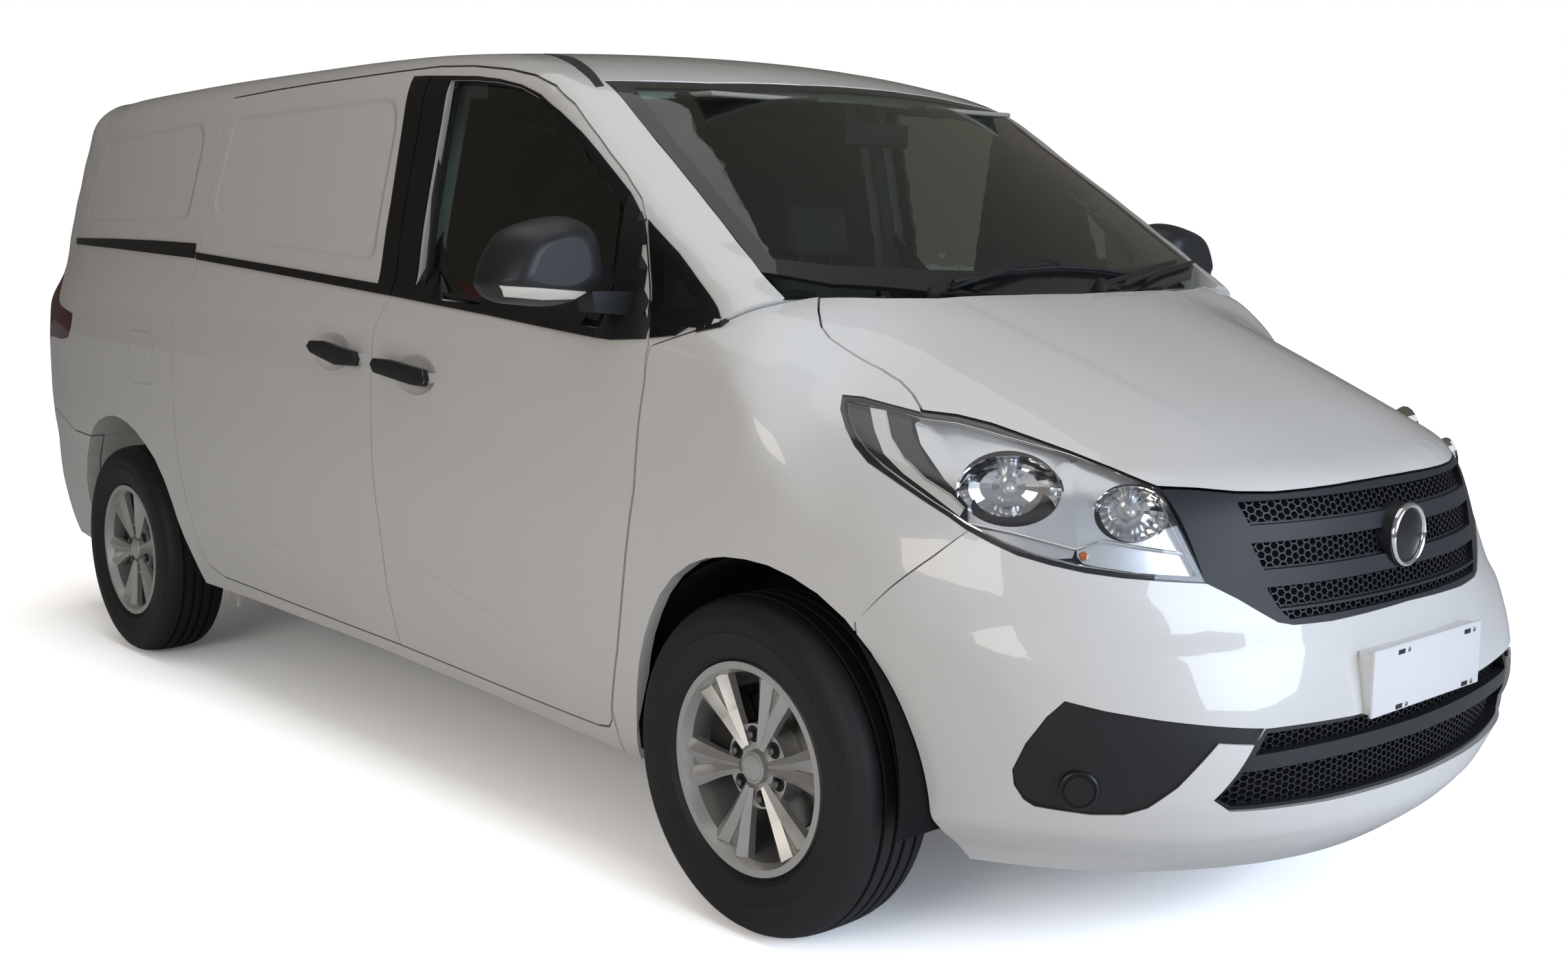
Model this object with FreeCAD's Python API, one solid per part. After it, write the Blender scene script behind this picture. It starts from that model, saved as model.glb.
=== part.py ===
import FreeCAD, Part
import math
import os
from FreeCAD import Vector as V

os.makedirs("parts", exist_ok=True)

# Driving sizes, in millimetres
LENGTH = 5168.0
HALF_LENGTH = LENGTH / 2
WHEELBASE = 3198.0
FRONT_AXLE_X = HALF_LENGTH - 960.0
REAR_AXLE_X = FRONT_AXLE_X - WHEELBASE
TYRE_R = 353.5
AXLE_Z = TYRE_R
TYRE_HALF_W = 106.0
TRACK_HALF = 838.0
ARCH_R = 402.0
PANEL = 60.0
ROOF_T = 40.0
GAP = 5.0
SEAT_FIT = 0.3
ROOM = 6.0

# Half width of the body at its widest section, height by height
SIDE = [(-200, 800), (100, 835), (240, 868), (300, 900), (356, 918), (420, 934), (489, 948), (516, 953),
        (624, 964), (703, 973), (769, 981), (873, 986), (1002, 985), (1104, 979), (1180, 969), (1223, 945),
        (1267, 917), (1293, 905), (1440, 878), (1590, 845), (1690, 822), (1780, 801), (1900, 772),
        (2100, 722), (2400, 640)]
# Share of that width kept along the length
PLAN = [(-3000, 0.66), (-2584, 0.835), (-2480, 0.875), (-2400, 0.895), (-2300, 0.914), (-2000, 0.955),
        (-1574, 0.981), (-1000, 0.995), (-200, 1.0), (800, 1.0), (1200, 0.992), (1400, 0.980),
        (1624, 0.965), (1900, 0.925), (2100, 0.875), (2300, 0.80), (2600, 0.64), (3000, 0.4)]
# Centre line of roof and windscreen: x, height, plan bow at 690, crown drop at 690
ROOF = [(-3000, 1790, 0, 30), (-2700, 1848, 0, 30), (-2540, 1876, 0, 31), (-2200, 1904, 0, 32),
        (-1600, 1922, 0, 33), (-900, 1928, 0, 33), (-300, 1927, 0, 33), (0, 1922, 5, 32), (300, 1909, 25, 30),
        (550, 1889, 70, 29), (800, 1850, 120, 28), (1013, 1784, 148, 24), (1180, 1680, 140, 16),
        (1350, 1559, 128, 8), (1525, 1427, 112, 2), (1700, 1290, 104, 0), (1900, 1126, 100, 0),
        (2150, 915, 100, 0), (2500, 600, 100, 0), (3000, 150, 100, 0)]
# Centre line of the bonnet: x, height, crown drop at 690
BONNET = [(1000, 1395, 30), (1400, 1372, 35), (1572, 1340, 45), (1700, 1297, 85), (1763, 1275, 108),
          (1910, 1219, 122), (2100, 1142, 134), (2250, 1078, 142), (2339, 1036, 146), (2420, 996, 150),
          (2505, 945, 155), (2600, 872, 160), (3000, 500, 180)]
# Front of the nose: height, x on the centre line, sweep back at 600 mm out
NOSE = [(-200, 2150, 300), (100, 2300, 280), (180, 2400, 262), (230, 2470, 245), (300, 2548, 200),
        (340, 2572, 160), (430, 2584, 105), (540, 2571, 84), (680, 2545, 110), (729, 2530, 132),
        (820, 2518, 155), (976, 2503, 186), (1100, 2470, 210), (1300, 2380, 260), (2000, 2000, 400)]
# Rear face: height, x on the centre line, sweep forward at 700 mm out
TAIL = [(-200, -2300, 60), (200, -2440, 80), (300, -2530, 88), (380, -2572, 92), (450, -2584, 95),
        (560, -2584, 95), (640, -2570, 92), (700, -2545, 85), (900, -2538, 82), (1100, -2532, 80),
        (1250, -2515, 78), (1440, -2462, 74), (1700, -2380, 70), (1900, -2310, 66), (2200, -2200, 60)]


def table(rows):
    """Smooth curves through rows of x, a, b: one cubic with a limited slope for each column."""
    xs = [r[0] for r in rows]
    cols = []
    for c in range(1, len(rows[0])):
        ys = [r[c] for r in rows]
        d = [(ys[i + 1] - ys[i]) / (xs[i + 1] - xs[i]) for i in range(len(xs) - 1)]
        m = [d[0]]
        for i in range(1, len(d)):
            h0, h1 = xs[i] - xs[i - 1], xs[i + 1] - xs[i]
            turns = d[i - 1] * d[i] <= 0
            m.append(0.0 if turns else 3 * (h0 + h1) / ((h0 + 2 * h1) / d[i - 1] + (2 * h0 + h1) / d[i]))
        m.append(d[-1])
        cols.append((ys, m))

    def at(x):
        x = min(max(x, xs[0]), xs[-1])
        lo, hi = 0, len(xs) - 1
        while hi - lo > 1:
            k = (lo + hi) // 2
            if xs[k] <= x:
                lo = k
            else:
                hi = k
        h = xs[lo + 1] - xs[lo]
        t = (x - xs[lo]) / h
        a, b = t * t * (3 - 2 * t), t * (1 - t) * (1 - t) * h
        c = -t * t * (1 - t) * h
        return [ys[lo] + (ys[lo + 1] - ys[lo]) * a + m[lo] * b + m[lo + 1] * c for ys, m in cols]
    return at


side_at, plan_at, roof_at = table(SIDE), table(PLAN), table(ROOF)
bonnet_at, nose_at, tail_at = table(BONNET), table(NOSE), table(TAIL)


def half_width(x, z):
    return side_at(z)[0] * plan_at(x)[0]


def f_side(x, y, z):
    s = (side_at(z + 5)[0] - side_at(z - 5)[0]) / 10
    p = (plan_at(x + 5)[0] - plan_at(x - 5)[0]) / 10 * 950
    return (abs(y) - half_width(x, z)) / math.sqrt(1 + s * s + p * p)


def f_roof(x, y, z):
    q = (y / 690.0) ** 2
    xe = x + roof_at(x)[1] * q
    r = roof_at(xe)
    s = (roof_at(xe + 5)[0] - roof_at(xe - 5)[0]) / 10
    return (z - r[0] + r[2] * q) / math.sqrt(1 + s * s)


def f_bonnet(x, y, z):
    r = bonnet_at(x)
    s = (bonnet_at(x + 5)[0] - bonnet_at(x - 5)[0]) / 10
    q = abs(y / 690.0) ** 3
    return (z - r[0] + r[1] * q) / math.sqrt(1 + s * s + (3 * r[1] * (y / 690.0) ** 2 / 690.0) ** 2)


def f_nose(x, y, z):
    r = nose_at(z)
    q = abs(y / 600.0) ** 2.25
    s = 2.25 * r[1] * abs(y / 600.0) ** 1.25 / 600.0
    t = (nose_at(z + 5)[0] - nose_at(z - 5)[0]) / 10
    return (x - r[0] + r[1] * q) / math.sqrt(1 + s * s + t * t)


def f_tail(x, y, z):
    r = tail_at(z)
    s = 2 * r[1] * abs(y) / 490000.0
    t = (tail_at(z + 5)[0] - tail_at(z - 5)[0]) / 10
    return (r[0] + r[1] * (y / 700.0) ** 2 - x) / math.sqrt(1 + s * s + t * t)


def round_max(a, b, r):
    if a > -r and b > -r:
        return math.hypot(a + r, b + r) - r
    return max(a, b)


def ease(x, x0, x1, a, b):
    t = min(1.0, max(0.0, (x - x0) / (x1 - x0)))
    return a + (b - a) * t * t * (3 - 2 * t)


def skin_cabin(x, y, z):
    r = ease(x, 300, 1000, 95.0, 42.0)
    a = round_max(f_side(x, y, z), f_roof(x, y, z), r)
    return round_max(a, f_tail(x, y, z), 75.0)


def skin_front(x, y, z):
    a = round_max(f_side(x, y, z), f_bonnet(x, y, z), ease(x, 1450, 1800, 60.0, 110.0))
    return round_max(a, f_nose(x, y, z), ease(z, 700, 1000, 170.0, 60.0))


def on_ray(skin, o, d, level, lo, hi):
    """Point on the ray from o along d where skin equals level."""
    def at(t):
        return skin(o[0] + d[0] * t, o[1] + d[1] * t, o[2] + d[2] * t) - level
    a, b = lo, hi
    fa, fb = at(a), at(b)
    for k in range(60):
        t = (a * fb - b * fa) / (fb - fa) if k % 3 else (a + b) / 2
        f = at(t)
        if abs(f) < 1e-4:
            break
        if f * fa > 0:
            a, fa = t, f
        else:
            b, fb = t, f
    return V(o[0] + d[0] * t, o[1] + d[1] * t, o[2] + d[2] * t)


def spread(a, b, n):
    return [a + (b - a) * i / (n - 1) for i in range(n)]


def slab(outer, inner):
    """Solid between two sheets of points of the same layout."""
    surfs = []
    for grid in (outer, inner):
        s = Part.BSplineSurface()
        s.interpolate(grid)
        surfs.append(s)
    a, b = surfs
    faces = [a.toShape(), b.toShape()]
    ua0, ua1, va0, va1 = a.bounds()
    ub0, ub1, vb0, vb1 = b.bounds()
    for ca, cb in ((a.uIso(ua0), b.uIso(ub0)), (a.uIso(ua1), b.uIso(ub1)),
                   (a.vIso(va0), b.vIso(vb0)), (a.vIso(va1), b.vIso(vb1))):
        faces.append(Part.makeRuledSurface(ca.toShape(), cb.toShape()))
    shell = Part.Shell(faces)
    shell.sewShape()
    solid = Part.Solid(shell)
    if solid.Volume < 0:
        solid.reverse()
    return solid


def shell_fan(skin, stations, centre_z, angles, d0, d1):
    """Slab of a skin on rays from the line y = 0, z = centre_z.

    A station is the x it starts from and the angle by which its rays lean forward.
    """
    def sheet(level):
        return [[on_ray(skin, (x, 0, centre_z),
                        (math.sin(b), math.cos(b) * math.sin(a), math.cos(b) * math.cos(a)), -level, 20.0, 2600.0)
                 for a in angles] for x, b in stations]
    return slab(sheet(d0), sheet(d1))


def prism_xz(points, y0, y1):
    w = Part.makePolygon([V(x, y0, z) for x, z in points] + [V(points[0][0], y0, points[0][1])])
    return Part.Face(w).extrude(V(0, y1 - y0, 0))


def prism_yz(points, x0, x1):
    w = Part.makePolygon([V(x0, y, z) for y, z in points] + [V(x0, points[0][0], points[0][1])])
    return Part.Face(w).extrude(V(x1 - x0, 0, 0))


def prism_xy(points, z0, z1, grow=0.0):
    w = Part.makePolygon([V(x, y, z0) for x, y in points] + [V(points[0][0], points[0][1], z0)])
    if grow:
        w = w.makeOffset2D(grow)
    return Part.Face(w).extrude(V(0, 0, z1 - z0))


def box(x0, x1, y0, y1, z0, z1):
    return Part.makeBox(x1 - x0, y1 - y0, z1 - z0, V(x0, y0, z0))


def cyl(p, d, r, h):
    return Part.makeCylinder(r, h, V(*p), V(*d))


def mirrored(shape):
    return shape.mirror(V(0, 0, 0), V(0, 1, 0))


def fuse(*shapes):
    s = shapes[0]
    if len(shapes) > 1:
        s = s.fuse(list(shapes[1:]))
    return s.removeSplitter()


def outline(points, grow=0.0, at=0.0):
    """Face in the side view, x and z, grown all round."""
    w = Part.makePolygon([V(x, at, z) for x, z in points] + [V(points[0][0], at, points[0][1])])
    if grow:
        w = w.makeOffset2D(grow)
    return Part.Face(w)


def side_prism(points, grow=0.0, y0=-1300.0, y1=-250.0):
    return outline(points, grow, y0).extrude(V(0, y1 - y0, 0))


def rear_prism(points, grow=0.0, x0=-2900.0, x1=-1900.0):
    w = Part.makePolygon([V(x0, y, z) for y, z in points] + [V(x0, points[0][0], points[0][1])])
    if grow:
        w = w.makeOffset2D(grow)
    return Part.Face(w).extrude(V(x1 - x0, 0, 0))


def biggest(shape):
    return max(shape.Solids, key=lambda s: s.Volume)


# Outlines in the side view
FRONT_DOOR = [(226, 352), (1085, 322), (1128, 328), (1148, 350), (1156, 380), (1215, 526), (1252, 668), (1285, 783),
              (1312, 893), (1325, 1031), (1338, 1126), (1334, 1197), (1322, 1215), (1287, 1267), (1260, 1350),
              (1240, 1420), (1223, 1453), (1183, 1500), (1112, 1554), (1042, 1600), (957, 1659), (874, 1718),
              (785, 1764), (686, 1795), (568, 1817), (390, 1838), (226, 1848)]
SLIDE_DOOR = [(226, 352), (226, 1848), (0, 1848), (-400, 1845), (-700, 1840), (-960, 1832), (-972, 1583),
              (-1000, 1370), (-1020, 1275), (-1030, 1155), (-1022, 971), (-1034, 700), (-1026, 615), (-999, 531),
              (-983, 452), (-940, 392), (-847, 370)]
DOOR_WINDOW = [(330, 1275), (1150, 1222), (1150, 1478), (1075, 1536), (1000, 1588), (920, 1640), (840, 1690),
               (750, 1736), (660, 1766), (560, 1784), (450, 1796), (330, 1803)]
REAR_ARCH = [(-1000, 100), (-1015, 300), (-1025, 333), (-1064, 412), (-1094, 464), (-1136, 562), (-1183, 642),
             (-1235, 702), (-1293, 744), (-1367, 780), (-1430, 800), (-1495, 812), (-1560, 816), (-1635, 808),
             (-1724, 785), (-1787, 756), (-1850, 714), (-1925, 640), (-1970, 560), (-1990, 480), (-1995, 400),
             (-1995, 100)]
TAILGATE = [(-690, 660), (-735, 760), (-742, 1000), (-738, 1240), (-715, 1450), (-680, 1700), (-652, 1832),
            (652, 1832), (680, 1700), (715, 1450), (738, 1240), (742, 1000), (735, 760), (690, 660)]
TAILGATE_WINDOW = [(-600, 1330), (-620, 1360), (-560, 1720), (-530, 1750), (530, 1750), (560, 1720), (620, 1360),
                   (600, 1330)]
FRONT_ARCH = [(1195, 100), (1204, 260), (1236, 353), (1252, 406), (1272, 469), (1290, 520), (1313, 578),
              (1340, 628), (1373, 676), (1420, 722), (1477, 758), (1530, 778), (1582, 788), (1640, 791),
              (1700, 787), (1760, 772), (1820, 747), (1880, 706), (1935, 648), (1985, 565), (2015, 480),
              (2028, 400), (2032, 300), (2032, 100)]
BUMPER_LINE = [(-2900, 775), (-2277, 773), (-2091, 737), (-2025, 721), (-1820, 718), (-1700, 718)]
TAIL_LAMP = [(-2900, 1300), (-2323, 1275), (-2187, 1179), (-2137, 1162), (-1977, 1140), (-1992, 1093), (-2027, 1054),
             (-2119, 1043), (-2290, 1046), (-2380, 1010), (-2420, 850), (-2900, 850)]
ARCH_X, ARCH_Z = FRONT_AXLE_X + 6, 384.0
FRONT_HANDLE = [(265, 1098), (280, 1112), (360, 1112), (449, 1104), (524, 1097), (531, 1072), (521, 1060),
                (465, 1060), (376, 1069), (283, 1079)]
SLIDE_HANDLE = [(-79, 1127), (-60, 1140), (8, 1142), (99, 1130), (177, 1123), (188, 1106), (180, 1089), (74, 1086),
                (1, 1099), (-60, 1111)]
HANDLE_OUT = 26.0
HANDLE_T = 14.0
ROOF_SIDE_Y = 690.0
DOOR_INNER_Y = 697.0
DOOR_ROOM_Y = DOOR_INNER_Y - GAP
# Hinge line of the tailgate, x and z, and the radius round it that the tailgate leaves free for the roof's edge
TAILGATE_AXIS = (-2308.0, 1856.0)
HINGE_RELIEF_R = 37.0

parts = {}

# Fans of rays that the cab's and the nose's sheets are laid on
TAIL_LEANS = (0, 7, 14, 20, 26, 31, 35, 38, 40.5, 43, 45, 47, 49, 51, 53.5, 57, 61, 66, 71)
tail_leans = [math.radians(-b) for b in TAIL_LEANS]
cab_stations = [(-1500.0, b) for b in reversed(tail_leans)] + [(x, 0.0) for x in spread(-1400, 1690, 30)]
cab_a = spread(-2.26, -0.33, 48)
cab = shell_fan(skin_cabin, cab_stations, 900, cab_a, 0, PANEL)
deep_stations = [(x, 0.0) for x in spread(-2150, 1400, 30)]
deep = shell_fan(skin_cabin, deep_stations, 900, spread(-2.26, -0.6, 36), PANEL - 10, 230)

arch_front = fuse(side_prism(FRONT_ARCH, 0, -1300, -600), cyl((ARCH_X, -905, ARCH_Z), (0, 1, 0), ARCH_R, 305))
arch_front_both = fuse(arch_front, mirrored(arch_front))
arch_rear = side_prism(REAR_ARCH, 0, -1300, -600)

# Room that the doors leave to the pillars and the roof's side
within_pillar = prism_xy([(-2700, -DOOR_INNER_Y), (834, -DOOR_INNER_Y), (1483, -777), (1800, -777), (1800, 0),
                          (-2700, 0)], 1500, 2300)
within_pillar = within_pillar.fuse(prism_xy([(-2700, -640), (1800, -640), (1800, 0), (-2700, 0)], 200, 2300))
front_door = biggest(cab.common(side_prism(FRONT_DOOR, -GAP / 2)).cut(side_prism(DOOR_WINDOW)).cut(within_pillar))
slide_door = biggest(cab.common(side_prism(SLIDE_DOOR, -GAP / 2)).cut(within_pillar))


def with_handle(door, bowl, bar, feet):
    """A door with a hollow for the fingers and a pull bar across it."""
    (x, z), (half_x, half_z), depth = bowl
    face = -half_width(x, z)
    hollow = Part.makeSphere(1.0)
    stretch = FreeCAD.Matrix()
    stretch.scale(V(half_x, depth, half_z))
    hollow = hollow.transformGeometry(stretch)
    hollow.translate(V(x, face, z))
    rod = prism_xz(bar, face - HANDLE_OUT, face - HANDLE_OUT + HANDLE_T)
    legs = [box(x0, x1, face - HANDLE_OUT + 2, face + depth + 2, z0, z1) for x0, x1, z0, z1 in feet]
    return fuse(door.cut(hollow), rod, *legs)


parts["front_door_right"] = with_handle(front_door, ((446, 1082), (96, 51), 18), FRONT_HANDLE,
                                        [(272, 292, 1086, 1108), (500, 524, 1066, 1090)])
parts["sliding_door_right"] = with_handle(slide_door, ((15, 1116), (98, 52), 18), SLIDE_HANDLE,
                                          [(-72, -52, 1114, 1134), (150, 178, 1094, 1118)])

# The bodyside: a ring round the doors, with a post, a sill and the wheelhouse
RIM = [(-1700, 321), (-1075, 321), (-701, 326), (39, 321), (626, 301), (1062, 277), (1150, 270), (1156, 380),
       (1215, 526), (1252, 668), (1285, 783), (1312, 893), (1325, 1031), (1338, 1126), (1340, 1197), (1500, 1250),
       (1560, 1300), (1560, 1340), (834, 1900), (834, 2200), (-2900, 2200)]
rim_region = prism_xz([(x, z + GAP) for x, z in BUMPER_LINE] + RIM, -1300, -250)
ring = cab.common(rim_region)
for door_outline in (FRONT_DOOR, SLIDE_DOOR):
    ring = ring.cut(side_prism(door_outline, GAP / 2, -1300, -DOOR_ROOM_Y))
ring = ring.cut(arch_rear)
roof_room = shell_fan(skin_cabin, cab_stations, 900, spread(-0.9, 0.9, 41), -5, ROOF_T + 2)
ring = ring.cut(box(-2700, 834, -640, 0, 1500, 2300)).cut(box(-2700, -2140, -660, 0, 1500, 2300))
ring = ring.cut(roof_room.common(box(-2700, 834, -ROOF_SIDE_Y + 2, 0, 1500, 2300)))
ring = ring.cut(rear_prism(TAILGATE, GAP / 2))
ring = ring.cut(prism_xy([(834, -689), (1483, -769), (1800, -769), (1800, 0), (834, 0)], 1292, 2300))
ring = ring.cut(side_prism(TAIL_LAMP))
tail_lamp = cab.common(side_prism(TAIL_LAMP, -SEAT_FIT)).cut(rear_prism(TAILGATE, GAP / 2))
parts["tail_lamp_right"] = biggest(tail_lamp)
POST_X = (175.0, 275.0)
POST_DEPTH = 40.0
post_out = [(on_ray(skin_cabin, (225, 0, z), (0, -1, 0), -PANEL - ROOM, 20.0, 1300.0).y, z)
            for z in range(400, 1801, 40)]
post = prism_yz(post_out + [(y + POST_DEPTH, z) for y, z in reversed(post_out)], *POST_X)
post_top = on_ray(skin_cabin, (POST_X[1], -DOOR_ROOM_Y + 1, 900), (0, 0, 1), -ROOF_T - 12, 20.0, 1100.0).z
post = post.fuse(box(POST_X[0], POST_X[1], -DOOR_ROOM_Y + 1, -645, 1770, post_top))
sill_band = [(-1000, 321.5), (39, 321.5), (626, 302), (1062, 278), (1150, 271), (1150, 312), (1085, 314), (226, 344),
             (-840, 346), (-1000, 346)]
sill = box(-1060, 1190, -832, -800 - SEAT_FIT, 330, 560).fuse(prism_xz(sill_band, -870, -801)).cut(arch_rear)
HOUSE_T = 12.0
HOUSE_WALL_Y = 700.0
arch_hole = outline(REAR_ARCH, 0, -1300).extrude(V(0, 1300 - HOUSE_WALL_Y - HOUSE_T, 0))
arch_lip = deep.common(outline(REAR_ARCH, HOUSE_T, -980).extrude(V(0, 180, 0)).cut(arch_hole))
house = outline(REAR_ARCH, HOUSE_T, -815).extrude(V(0, 815 - HOUSE_WALL_Y, 0)).cut(arch_hole)
house = house.cut(box(-2200, -800, -1300, 0, 0, 430))
for piece in (sill, post, arch_lip, house):
    ring = ring.fuse(piece)
parts["bodyside_right"] = biggest(ring)

roof_slab = shell_fan(skin_cabin, cab_stations, 900, spread(-0.9, 0.9, 41), 0, ROOF_T)
ROOF_EDGE_Y = ROOF_SIDE_Y - GAP / 2
roof_plan = [(-2600, -ROOF_EDGE_Y), (834, -ROOF_EDGE_Y), (930, -450), (980, -200), (990, 0), (980, 200),
             (930, 450), (834, ROOF_EDGE_Y), (-2600, ROOF_EDGE_Y)]
roof = roof_slab.common(prism_xy(roof_plan, 1500, 2300)).cut(box(-2700, 0, -1000, 1000, 0, 1800))
roof = roof.cut(rear_prism(TAILGATE, GAP / 2, -2900, -2100))
parts["roof_panel"] = biggest(roof)


# Nose
LENS_T = 4.0
LAMP_TURN = math.radians(-48)
LAMP_FWD = V(math.cos(LAMP_TURN), math.sin(LAMP_TURN), 0)
LAMP_SIDE = V(-math.sin(LAMP_TURN), math.cos(LAMP_TURN), 0)
LAMP = [(772, 1116), (811, 1113), (870, 1100), (932, 1087), (996, 1081), (1060, 1068), (1134, 1046), (1206, 1024),
        (1283, 998), (1365, 968), (1386, 925), (1407, 886), (1428, 845), (1449, 805), (1380, 811), (1296, 819),
        (1229, 828), (1168, 840), (1108, 855), (1061, 874), (1016, 895), (985, 914), (933, 941), (877, 972),
        (830, 998), (802, 1026), (783, 1057), (770, 1090)]
FOG = [(1196, 606), (1165, 575), (1130, 521), (1108, 465), (1112, 435), (1130, 408), (1150, 396), (1250, 388),
       (1310, 392), (1350, 408), (1400, 450), (1470, 532), (1538, 524), (1556, 552), (1463, 564), (1365, 577),
       (1266, 592)]
FOG_COVER = (1226, 440, 36)
GRILLE = [(-535, 970), (-475, 966), (-411, 958), (-335, 954), (-242, 955), (-129, 957), (0, 958), (129, 957),
          (242, 955), (335, 954), (411, 958), (475, 966), (535, 970), (512, 805), (460, 775), (419, 748),
          (385, 727), (350, 719), (254, 716), (0, 722), (-254, 716), (-350, 719), (-385, 727), (-419, 748),
          (-460, 775), (-512, 805)]
LOWER_GRILLE = [(-471, 551), (-239, 541), (0, 538), (239, 541), (471, 551), (497, 524), (556, 424), (520, 398),
                (300, 388), (0, 384), (-300, 388), (-520, 398), (-556, 424), (-497, 524)]
# Window rows of the two grilles: the top and bottom edge's height and half width
GRILLE_ROWS = [(941, 415, 905, 405), (868, 408, 824, 392), (787, 390, 753, 372), (745, 370, 729, 352)]
BOSS = (852, 62)
LOWER_ROWS = [[(-455, 538), (-239, 530), (0, 527), (239, 530), (455, 538), (484, 501), (0, 495), (-484, 501)],
              [(-505, 472), (0, 466), (505, 472), (543, 424), (512, 405), (300, 396), (0, 392), (-300, 396),
               (-512, 405), (-543, 424)]]
# Bowls of a headlamp: place along the lamp, height, radius
LAMP_BOWLS = [(1092, 958, 64), (1312, 926, 55)]
BONNET_SIDE = [(1572, -684), (1607, -718), (1639, -740), (1662, -741), (1706, -721), (1764, -697), (1812, -690),
               (1852, -696), (1886, -709), (1903, -719)]


def lamp_prism(points, grow=0.0):
    pts = [LAMP_SIDE * u + V(0, 0, z) + LAMP_FWD * 900 for u, z in points]
    w = Part.makePolygon(pts + pts[:1])
    if grow:
        w = w.makeOffset2D(grow)
    return Part.Face(w).extrude(LAMP_FWD * 1800)


nose_leans = [math.radians(b) for b in (5, 10, 15, 20, 25, 29, 33, 36, 39, 42, 45, 48, 51, 54, 57, 60, 63, 66)]
nose_stations = [(x, 0.0) for x in spread(1120, 1650, 11)] + [(1650.0, b) for b in nose_leans]
nose_side = shell_fan(skin_front, nose_stations, 560, spread(-2.15, -0.35, 46), 0, 30)
bonnet_slab = shell_fan(skin_front, nose_stations, 560, spread(-1.3, 1.3, 53), 0, 30)
lamp_angles = spread(-2.0, -0.55, 40)
lamp_slab = shell_fan(skin_front, nose_stations, 560, lamp_angles, 1 + LENS_T + SEAT_FIT, 110)
lens_slab = shell_fan(skin_front, nose_stations, 560, lamp_angles, 1, 1 + LENS_T)
lamp_room = shell_fan(skin_front, nose_stations, 560, lamp_angles, -5, 42)


def fascia(d0, d1, z0, z1, rows, spans=61, half=math.radians(86)):
    """Slab of the nose on level rays from the upright line x = 1500, y = 0."""
    def sheet(level):
        return [[on_ray(skin_front, (1500, 0, z), (math.cos(a), math.sin(a), 0), -level, 20.0, 1500.0)
                 for a in spread(-half, half, spans)] for z in spread(z0, z1, rows)]
    return slab(sheet(d0), sheet(d1))


both = [lamp_prism(LAMP, SEAT_FIT), mirrored(lamp_prism(LAMP, SEAT_FIT))]
both_clear = [lamp_prism(LAMP, GAP), mirrored(lamp_prism(LAMP, GAP))]
grille_hole = rear_prism(GRILLE, 0, 2000, 2700)
below_bonnet = prism_yz([(-1200, 100), (-1200, 970)] + [(y, z + GAP) for y, z in GRILLE[:13]]
                        + [(1200, 970), (1200, 100)], 2200, 2800)
rear_line = [(1572, 684), (1622, 565), (1665, 426), (1695, 220), (1706, 0), (1695, -220), (1665, -426), (1622, -565)]
bonnet_plan = BONNET_SIDE + [(1950, -760), (2700, -760), (2700, 760), (1950, 760)]
bonnet_plan += [(x, -y) for x, y in reversed(BONNET_SIDE)] + rear_line[1:]
bonnet = bonnet_slab.common(prism_xy(bonnet_plan, 800, 1500)).cut(below_bonnet).cut(both_clear)
parts["bonnet"] = biggest(bonnet)

wing_region = prism_xz([(1155, 262), (1161, 380), (1220, 526), (1257, 668), (1290, 783), (1317, 893), (1330, 1031),
                        (1342, 1126), (1343, 1195), (1502, 1246), (1562, 1296), (1700, 1340), (2100, 1200),
                        (2100, 895), (2050, 844), (1990, 789), (1900, 700), (1900, 300)], -1300, -250)
bonnet_keep = prism_xy(bonnet_plan, 930, 1500, GAP)
wing = nose_side.common(wing_region).cut(bonnet_keep).cut(box(1300, 2800, -684, 0, 900, 1500)).cut(arch_front)
wing = wing.cut(both[0])
parts["front_wing_right"] = biggest(wing)


def nose_point(u, z, level):
    """Point of the nose seen at that place of the lamp's view."""
    o = LAMP_SIDE * u + V(0, 0, z) + LAMP_FWD * 900
    return on_ray(skin_front, (o.x, o.y, o.z), (LAMP_FWD.x, LAMP_FWD.y, 0), level, 0.0, 1800.0)


lamp = lamp_slab.common(lamp_prism(LAMP, -SEAT_FIT)).cut(lamp_room.common(lamp_prism(LAMP, -7)))
for u, z, r in LAMP_BOWLS:
    lamp = lamp.cut(Part.makeSphere(r, nose_point(u, z, -38)))
parts["headlamp_right"] = biggest(lamp)
parts["headlamp_lens_right"] = biggest(lens_slab.common(lamp_prism(LAMP, -SEAT_FIT)))

bumper_slab = fascia(0, 35, 226, 905, 40)
bumper_side = [(2105, 905), (2102, 895), (2055, 844), (1995, 789), (1905, 705), (1905, 200), (2800, 200), (2800, 905)]
bumper = bumper_slab.common(prism_xz(bumper_side, -1200, 1200)).cut(arch_front_both).cut(both).cut(grille_hole)
bumper = bumper.cut([rear_prism(LOWER_GRILLE, 0, 2000, 2800), lamp_prism(FOG), mirrored(lamp_prism(FOG))])
parts["front_bumper"] = biggest(bumper)
row_windows = [[(-w0, z0), (w0, z0), (w1, z1), (-w1, z1)] for z0, w0, z1, w1 in GRILLE_ROWS]
grille = fascia(2, 36, 700, 968, 16).common(rear_prism(GRILLE, -SEAT_FIT, 2000, 2700)).cut(both)
bevel_room = fascia(-5, 14, 700, 968, 16)
for row in row_windows[:3]:
    grille = grille.cut([rear_prism(row, 0, 2000, 2700), bevel_room.common(rear_prism(row, 3, 2000, 2700))])
grille = grille.cut(rear_prism(row_windows[3], 0, 2000, 2700))
boss_x = nose_at(BOSS[0])[0]
grille = grille.fuse(cyl((boss_x - 36, 0, BOSS[0]), (1, 0, 0), BOSS[1], 42))
parts["upper_grille"] = biggest(grille)
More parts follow.
